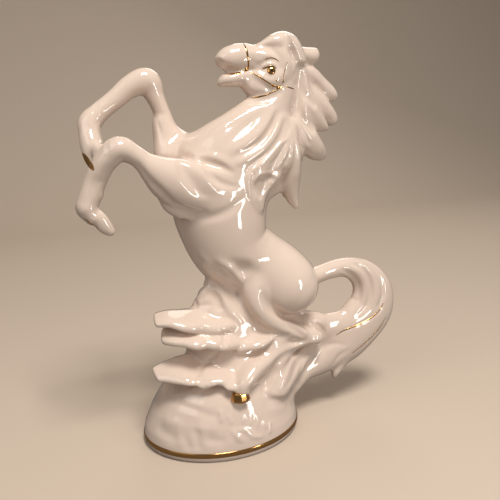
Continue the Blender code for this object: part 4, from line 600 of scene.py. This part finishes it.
    def outward(self, points, reach=0.5):
        """The unit slope of the value, which is the way out of the clay, and the slope's size."""
        slope = np.stack([self.read(points + reach * way) - self.read(points - reach * way)
                          for way in np.eye(3)], 1) / (2 * reach)
        size = np.linalg.norm(slope, axis=1, keepdims=True) + 1e-9
        return slope / size, size

    def settle(self, points, times=2):
        """Moves points along the slope until they lie on the surface."""
        for _ in range(times):
            way, size = self.outward(points)
            shift = self.read(points)[:, None] / np.maximum(size, LEAST_SLOPE)
            points = points - way * np.clip(shift, -self.step, self.step)
        return points

    def skin(self):
        """Points and quads of the surface: one point in each cell that it crosses, at the mean
        of the crossings on the cell's edges, and one quad for each grid edge that it crosses."""
        v = self.value
        inside = v < 0
        cells = tuple(n - 1 for n in v.shape)
        count = sum(inside[i:cells[0] + i, j:cells[1] + j, k:cells[2] + k].astype(np.uint8)
                    for i, j, k in np.ndindex(2, 2, 2))
        active = np.argwhere((count > 0) & (count < 8))
        number = np.full(cells, -1, np.int64)
        number[tuple(active.T)] = np.arange(len(active))
        corners = np.array(list(np.ndindex(2, 2, 2)))
        values = np.stack([v[tuple((active + c).T)] for c in corners], 1)
        total, crossings = np.zeros((len(active), 3)), np.zeros(len(active))
        for m in range(8):
            for n in range(m + 1, 8):
                if np.abs(corners[m] - corners[n]).sum() != 1:
                    continue
                a, b = values[:, m], values[:, n]
                crossed = (a < 0) != (b < 0)
                t = np.where(crossed, a / np.where(crossed, a - b, 1), 0)[:, None]
                total += np.where(crossed[:, None], corners[m] + t * (corners[n] - corners[m]), 0)
                crossings += crossed
        points = (active + total / crossings[:, None]) * self.step + self.low
        quads = []
        for axis in range(3):
            one, two = [k for k in range(3) if k != axis]
            swapped = np.moveaxis(inside, axis, 0)
            edge = np.argwhere(swapped[:-1] != swapped[1:])
            place = np.empty_like(edge)
            place[:, [axis, one, two]] = edge
            place = place[(place[:, one] > 0) & (place[:, two] > 0)]
            u, w = np.eye(3, dtype=int)[one], np.eye(3, dtype=int)[two]
            quad = np.stack([number[tuple((place - s).T)] for s in (0 * u, u, u + w, w)], 1)
            turn = inside[tuple(place.T)] == (axis == 1)
            quad[turn] = quad[turn][:, ::-1]
            quads.append(quad)
        return points, np.vstack(quads)


def both_sides(clay, rows, middle):
    """A path on the near side and, where it has a middle, its copy on the far side: y turned
    about the middle, then moved onto the surface there."""
    near = np.array(rows, float)
    if middle is None:
        return [near]
    far = near.copy()
    far[:, 1] = 2 * middle - near[:, 1]
    far[:, :3] = clay.settle(far[:, :3], FAR_SETTLES)
    return [near, far]


def model_clay():
    """The whole figure: foot, forms, slabs, creases and ridges, glaze, then the cuts underneath."""
    clay = Clay(CLAY_LOW, CLAY_HIGH, CLAY_STEP)
    x, y, z = clay.axes[0][:, None, None], clay.axes[1][None, :, None], clay.axes[2][None, None, :]

    def oval(long, wide):
        """About the distance to an upright oval wall: k (k - 1) over half the slope of k^2."""
        k0 = np.sqrt((x / long)**2 + (y / wide)**2)
        return k0 * (k0 - 1) / (np.sqrt((x / long**2)**2 + (y / wide**2)**2) + 1e-9)

    share = np.interp(z, FOOT_HEIGHTS, FOOT_SHARES)
    foot = np.maximum(oval(FOOT_LONG * share, FOOT_WIDE * share), z - FOOT_HEIGHTS[-1])
    clay.value = np.minimum(clay.value, foot).astype(np.float32)
    for soft, stations in FORMS.values():
        clay.add(soft, stations)
    for droop, stations in SLABS.values():
        clay.add(SLAB_SOFT, stations, SLAB_POWER, droop)
    for rows in [r for middle, path in CREASES.values() for r in both_sides(clay, path, middle)]:
        clay.press(rows)
    clay.soften()
    inner_long, inner_wide = (half * FOOT_SHARES[0] - RING for half in (FOOT_LONG, FOOT_WIDE))
    recess = np.maximum(oval(inner_long, inner_wide), z - RECESS)
    vent = np.maximum(np.sqrt(x**2 + y**2) - VENT, z - VENT_TOP)
    clay.value = np.maximum(clay.value, np.maximum(-z, np.maximum(-recess, -vent)))
    clay.value = clay.value.astype(np.float32)
    return clay


def in_metres(points):
    """Table millimetres from the middle of the foot, as metres in the figurine's own frame."""
    return (points + (FOOT_X, 0, 0)) * MM


def in_scene(name, data):
    """A new object in the scene's collection."""
    obj = bpy.data.objects.new(name, data)
    bpy.context.scene.collection.objects.link(obj)
    return obj


def piece(name, mesh, material):
    mesh.materials.append(material)
    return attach(in_scene(name, mesh), "root")


def porcelain_body(clay, material):
    """The skin of the clay, thinned to a set number of triangles, settled back onto the surface,
    with its normals read from the slope there."""
    points, quads = clay.skin()
    mesh = bpy.data.meshes.new("rough")
    mesh.from_pydata(in_metres(clay.settle(points)), [], quads)
    mesh.shade_smooth()
    rough = in_scene("rough", mesh)
    thin = rough.modifiers.new("thin", "DECIMATE")
    thin.ratio = min(1.0, MOST_TRIANGLES / (2 * len(quads)))
    graph = bpy.context.evaluated_depsgraph_get()
    mesh = bpy.data.meshes.new_from_object(rough.evaluated_get(graph))
    bpy.data.objects.remove(rough)
    flat = np.empty(3 * len(mesh.vertices), np.float32)
    mesh.vertices.foreach_get("co", flat)
    points = clay.settle(flat.reshape(-1, 3).astype(float) / MM - (FOOT_X, 0, 0))
    points[:, 2] = np.where(points[:, 2] < FLAT_BELOW, 0.0, points[:, 2])
    mesh.name = "horse_glaze"
    mesh.vertices.foreach_set("co", in_metres(points).astype(np.float32).ravel())
    mesh.shade_smooth()
    mesh.normals_split_custom_set_from_vertices(clay.outward(points, NORMAL_REACH)[0])
    mesh.update()
    return piece("horse_glaze", mesh, material)


def ring_faces(rings, turns):
    """Quads that join each closed ring of so many points to the next."""
    k, i = np.arange(rings - 1)[:, None] * turns, np.arange(turns)
    here, after = k + i, k + (i + 1) % turns
    return np.stack([here, after, after + turns, here + turns], 2).reshape(-1, 4).tolist()


def end_caps(rings, turns):
    """One face over the first ring and one over the last."""
    return [list(range(turns))[::-1], list(range((rings - 1) * turns, rings * turns))]


def painted_line(clay, rows, lift=BRUSH_LIFT):
    """A brush line: at each step of the path, seven points across lie on the clay's surface,
    lifted by lift (1 - s^2) for s from -1 to 1, and two more close the line inside the clay."""
    path = smooth_path(rows, LINE_STEP)
    middle = clay.settle(path[:, :3], 4)
    normal = clay.outward(middle)[0]
    side = np.cross(np.gradient(middle, axis=0), normal)
    side /= np.linalg.norm(side, axis=1, keepdims=True) + 1e-9
    half = np.maximum(path[:, 3:4], HAIRLINE) / 2
    rings = []
    for s in np.linspace(-1, 1, 7):
        on = clay.settle(middle + side * half * s, 2)
        rings.append(on + clay.outward(on)[0] * (lift * (1 - s * s) + LINE_OVER))
    rings += [middle + side * half * edge - normal * LINE_UNDER for edge in (0.9, -0.9)]
    grid = np.stack(rings, 1)
    count, turns = grid.shape[:2]
    return grid.reshape(-1, 3), ring_faces(count, turns) + end_caps(count, turns)


def painted_dot(clay, spot):
    """A dot or a low dome from one row (x, y, z, radius, rise, length, tilt): rings of the surface
    round the centre, length times as long along the tilt, raised by rise * sqrt(1 - r^2) at r of
    the radius, and closed by one ring inside the clay."""
    radius, rise, length, tilt = spot[0, 3:]
    centre = clay.settle(spot[:, :3], 4)
    normal = clay.outward(centre)[0][0]
    u = np.cross((0.0, 1.0, 0.0), normal) + (math.cos(tilt), 0.0, math.sin(tilt))
    u -= (u @ normal) * normal
    u /= np.linalg.norm(u)
    w = np.cross(normal, u)
    turns = 24
    r, a = np.meshgrid(DOT_RINGS, 2 * np.pi * np.arange(turns) / turns, indexing="ij")
    flat = (centre[0] + radius * length * (r * np.cos(a))[..., None] * u
            + radius * (r * np.sin(a))[..., None] * w)
    on = clay.settle(flat.reshape(-1, 3), 2)
    way = clay.outward(on)[0]
    top = on + way * (rise * np.sqrt(1 - r.reshape(-1, 1)**2) + DOT_OVER)
    low = on[-turns:] - way[-turns:] * DOT_UNDER
    ends = centre + normal * (rise + DOT_OVER), centre - normal * DOT_UNDER
    points = np.vstack([top, low, *ends])
    rings, tip, foot = len(DOT_RINGS) + 1, len(points) - 2, len(points) - 1
    last, around = (rings - 1) * turns, [*range(turns), 0]
    caps = [(tip, q, p) for p, q in zip(around, around[1:])]
    caps += [(foot, last + p, last + q) for p, q in zip(around, around[1:])]
    return points, ring_faces(rings, turns) + caps


def foot_line():
    """Stations of the gold line: the foot's oval at the line's height, once round from the back."""
    count = 90
    a = np.linspace(0.5 * math.pi, 2.5 * math.pi, count)
    return np.stack([FOOT_LONG * np.cos(a), FOOT_WIDE * np.sin(a), np.full(count, LINE_Z),
                     np.full(count, LINE_WIDE)], 1)


def gilded_hoof():
    """The near hind hoof, at angle a and height h from -1 to 1: an oval with flat facets, which are
    cos(half) / cos(a's turn from the facet's middle) of it, times (1 - flare h) (1 - edge h^8), so
    it widens downwards and rounds in at both ends."""
    cx, cy, cz, half_x, half_y, half_z = HIND_HOOF
    rings, turns = 21, 8 * HOOF_FACETS
    h, a = np.meshgrid(np.linspace(-1, 1, rings), 2 * np.pi * np.arange(turns) / turns,
                       indexing="ij")
    half = math.pi / HOOF_FACETS
    turned = (a - HOOF_TURN + half) % (2 * half) - half
    share = (1 - HOOF_FLARE * h) * (1 - HOOF_EDGE * h**8) * math.cos(half) / np.cos(turned)
    grid = np.stack([cx + half_x * share * np.cos(a), cy + half_y * share * np.sin(a),
                     cz + half_z * h], -1)
    return grid.reshape(-1, 3), ring_faces(rings, turns) + end_caps(rings, turns)


def gold_mesh(parts):
    """Several (points, faces) in one mesh, each one's faces counted on from the points before it,
    and every closed shell facing outwards."""
    points, faces, start = [], [], 0
    for p, f in parts:
        points.append(p)
        faces += [[start + int(k) for k in face] for face in f]
        start += len(p)
    mesh = bpy.data.meshes.new("gold_lines")
    mesh.from_pydata(in_metres(np.vstack(points)), [], faces)
    work = bmesh.new()
    work.from_mesh(mesh)
    bmesh.ops.recalc_face_normals(work, faces=work.faces)
    work.to_mesh(mesh)
    work.free()
    mesh.shade_smooth()
    return mesh


class Wire:
    """A shader socket that sums are written on: each operator adds its Math node."""

    def __init__(self, tree, socket):
        self.tree, self.socket = tree, socket

    def sum(self, operation, *values, clamp=False):
        return self.tree.add("ShaderNodeMath", {"operation": operation, "use_clamp": clamp},
                             dict(enumerate(values)))[0]

    def __add__(self, other):
        return self.sum("ADD", self, other)

    def __radd__(self, other):
        return self.sum("ADD", other, self)

    def __sub__(self, other):
        return self.sum("SUBTRACT", self, other)

    def __rsub__(self, other):
        return self.sum("SUBTRACT", other, self)

    def __mul__(self, other):
        return self.sum("MULTIPLY", self, other)

    def __rmul__(self, other):
        return self.sum("MULTIPLY", other, self)

    def __truediv__(self, other):
        return self.sum("DIVIDE", self, other)

    def __rtruediv__(self, other):
        return self.sum("DIVIDE", other, self)

    def under(self, edge, blur):
        """1 where this is below the edge, 0 where it is above, and a soft change blur wide."""
        return self.sum("MULTIPLY_ADD", edge - self, 1 / blur, 0.5, clamp=True)


class Finish:
    """A material: one shader with its constant values, and the nodes that vary them."""

    def __init__(self, name, colour, **constants):
        self.material = bpy.data.materials.new(name)
        self.material.use_nodes = True
        self.material.diffuse_color = (*colour, 1.0)
        self.nodes, self.links = self.material.node_tree.nodes, self.material.node_tree.links
        self.shader = self.nodes["Principled BSDF"]
        self.shader.inputs["Base Color"].default_value = (*colour, 1.0)
        for socket, value in constants.items():
            self.shader.inputs[socket.replace("_", " ")].default_value = value

    def fill(self, spot, value):
        """A wire is linked to the socket, and any other value is set on it."""
        if isinstance(value, Wire):
            self.links.new(value.socket, spot)
        else:
            spot.default_value = value

    def add(self, kind, settings, values):
        """One node: its settings first, then the values or links of its sockets."""
        node = self.nodes.new(kind)
        for name, value in settings.items():
            setattr(node, name, value)
        for spot, value in values.items():
            self.fill(node.inputs[spot], value)
        return [Wire(self, out) for out in node.outputs]

    def place(self):
        """The piece's own coordinates, in table millimetres."""
        point = self.add("ShaderNodeTexCoord", {}, {})[3]
        x, y, z = self.add("ShaderNodeSeparateXYZ", {}, {0: point})
        return x / MM - FOOT_X, y / MM, z / MM

    def tint(self, share, colour, other):
        """The first colour where the share is 0 and the other where it is 1."""
        mixed = self.add("ShaderNodeMix", {"data_type": "RGBA"},
                         {0: share, 6: (*colour, 1.0), 7: (*other, 1.0)})[2]
        self.fill(self.shader.inputs["Base Color"], mixed)


def glaze():
    """Warm white glaze, with gold in a tilted oval on the front of the far forehoof."""
    paint = Finish("white glaze", GLAZE, Roughness=GLAZE_ROUGH, Coat_Weight=GLAZE_COAT,
                   Coat_Roughness=0.03)
    x, _, z = paint.place()
    cx, cz, long, short, tilt = FORE_HOOF
    along = (x - cx) * (math.sin(tilt) / long) + (z - cz) * (math.cos(tilt) / long)
    over = (x - cx) * (math.cos(tilt) / short) - (z - cz) * (math.sin(tilt) / short)
    gold = (along * along + over * over).under(1.0, 0.15)
    paint.tint(gold, GLAZE, GOLD)
    paint.fill(paint.shader.inputs["Metallic"], gold)
    paint.fill(paint.shader.inputs["Roughness"], gold * 0.3 + GLAZE_ROUGH)
    paint.fill(paint.shader.inputs["Coat Weight"], (1.0 - gold) * GLAZE_COAT)
    return paint.material


def lustre():
    """Gold, with a brown pupil in the middle of each eye."""
    paint = Finish("gold lustre", GOLD, Metallic=1.0, Roughness=0.13)
    x, _, z = paint.place()
    eye_x, _, eye_z = DOTS["eye"][:3]
    away = (x - eye_x) * (x - eye_x) + (z - eye_z) * (z - eye_z)
    paint.tint(away.under(PUPIL_RADIUS**2, 0.4), GOLD, PUPIL)
    return paint.material


def paper():
    """Pale to the camera. Near the floor it is darker to every other ray, which is painted shade:
    little light is thrown up onto the glaze from below, and the glaze and gold reflect dark there."""
    pale = Finish("pale paper", PAPER, Roughness=0.9)
    seen = pale.add("ShaderNodeLightPath", {}, {})[0]
    low = pale.place()[2].under(DARK_BELOW, DARK_BLUR)
    # painted shade: near the floor the paper is dark to every ray but the camera's, darkening the
    # glaze below
    pale.tint((1.0 - seen) * low, PAPER, PAPER_SHADE_BELOW)
    return pale.material


def build():
    """The glazed body in place of the plain solid, and the gold on it as one thin piece."""
    clay = model_clay()
    body = porcelain_body(clay, glaze())
    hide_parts("horse_figurine")
    parts = [painted_line(clay, rows) for middle, path in LINES.values()
             for rows in both_sides(clay, path, middle)]
    parts += [painted_dot(clay, spot) for dot in DOTS.values()
              for spot in both_sides(clay, [dot], HEAD_MIDDLE)]
    parts += [painted_line(clay, foot_line(), LINE_LIFT), gilded_hoof()]
    piece("gold_lines", gold_mesh(parts), lustre())


def room():
    """A pale floor that sweeps up into a wall in a quarter of a circle, the lamps and dim air."""
    s = np.linspace(0, math.pi / 2, 41)
    y = np.concatenate([[-FLOOR_FRONT], WALL_START + SWEEP * np.sin(s), [WALL_START + SWEEP]])
    z = np.concatenate([[0.0], SWEEP * (1 - np.cos(s)), [WALL_TOP]])
    n = len(y)
    sides = [np.stack([np.full(n, x), y, z], 1) for x in (-WALL_SIDE, WALL_SIDE)]
    i = np.arange(n - 1)
    sweep = bpy.data.meshes.new("sweep")
    sweep.from_pydata(np.concatenate(sides), [], np.stack([i, i + n, i + n + 1, i + 1], 1).tolist())
    sweep.shade_smooth()
    sweep.materials.append(paper())
    in_scene("floor_and_wall", sweep)
    for name, turn, rise, far, wide, tall, power in LAMPS:
        lamp = bpy.data.lights.new(name, "AREA")
        lamp.shape, lamp.size, lamp.size_y, lamp.energy = "RECTANGLE", wide, tall, power
        lamp.color = LAMP_COLOUR
        obj = in_scene(name, lamp)
        turn, rise = math.radians(turn), math.radians(rise)
        obj.location = (far * math.sin(turn) * math.cos(rise),
                        -far * math.cos(turn) * math.cos(rise), LAMP_AIM + far * math.sin(rise))
        obj.rotation_euler = (math.pi / 2 - rise, 0.0, turn)
    world = bpy.context.scene.world or bpy.data.worlds.new("room light")
    bpy.context.scene.world = world
    world.use_nodes = True
    air = world.node_tree.nodes["Background"]
    air.inputs["Color"].default_value = (*AIR, 1.0)
    air.inputs["Strength"].default_value = AIR_STRENGTH


def camera():
    """Where the photograph was taken from: 35 cm away, a little above, turned 19 degrees."""
    yaw, pitch, roll = CAMERA_TURNS
    ahead = np.array([math.sin(yaw) * math.cos(pitch), math.cos(yaw) * math.cos(pitch),
                      -math.sin(pitch)])
    right = np.array([math.cos(yaw), -math.sin(yaw), 0.0])
    up = np.cross(right, ahead)
    lens = bpy.data.cameras.new("photograph")
    lens.sensor_width = 36.0
    lens.lens = lens.sensor_width * FOCAL / PICTURE
    lens.clip_start, lens.clip_end = 0.01, 20.0
    matrix = np.eye(4)
    matrix[:3, 0] = math.cos(roll) * right + math.sin(roll) * up
    matrix[:3, 1] = -math.sin(roll) * right + math.cos(roll) * up
    matrix[:3, 2] = -ahead
    matrix[:3, 3] = in_metres(np.array(CAMERA_EYE))
    obj = in_scene("photograph", lens)
    obj.matrix_world = Matrix(matrix.tolist())
    bpy.context.scene.camera = obj


build()
room()
camera()
bpy.context.scene.view_settings.view_transform = "Standard"
bpy.context.view_layer.update()
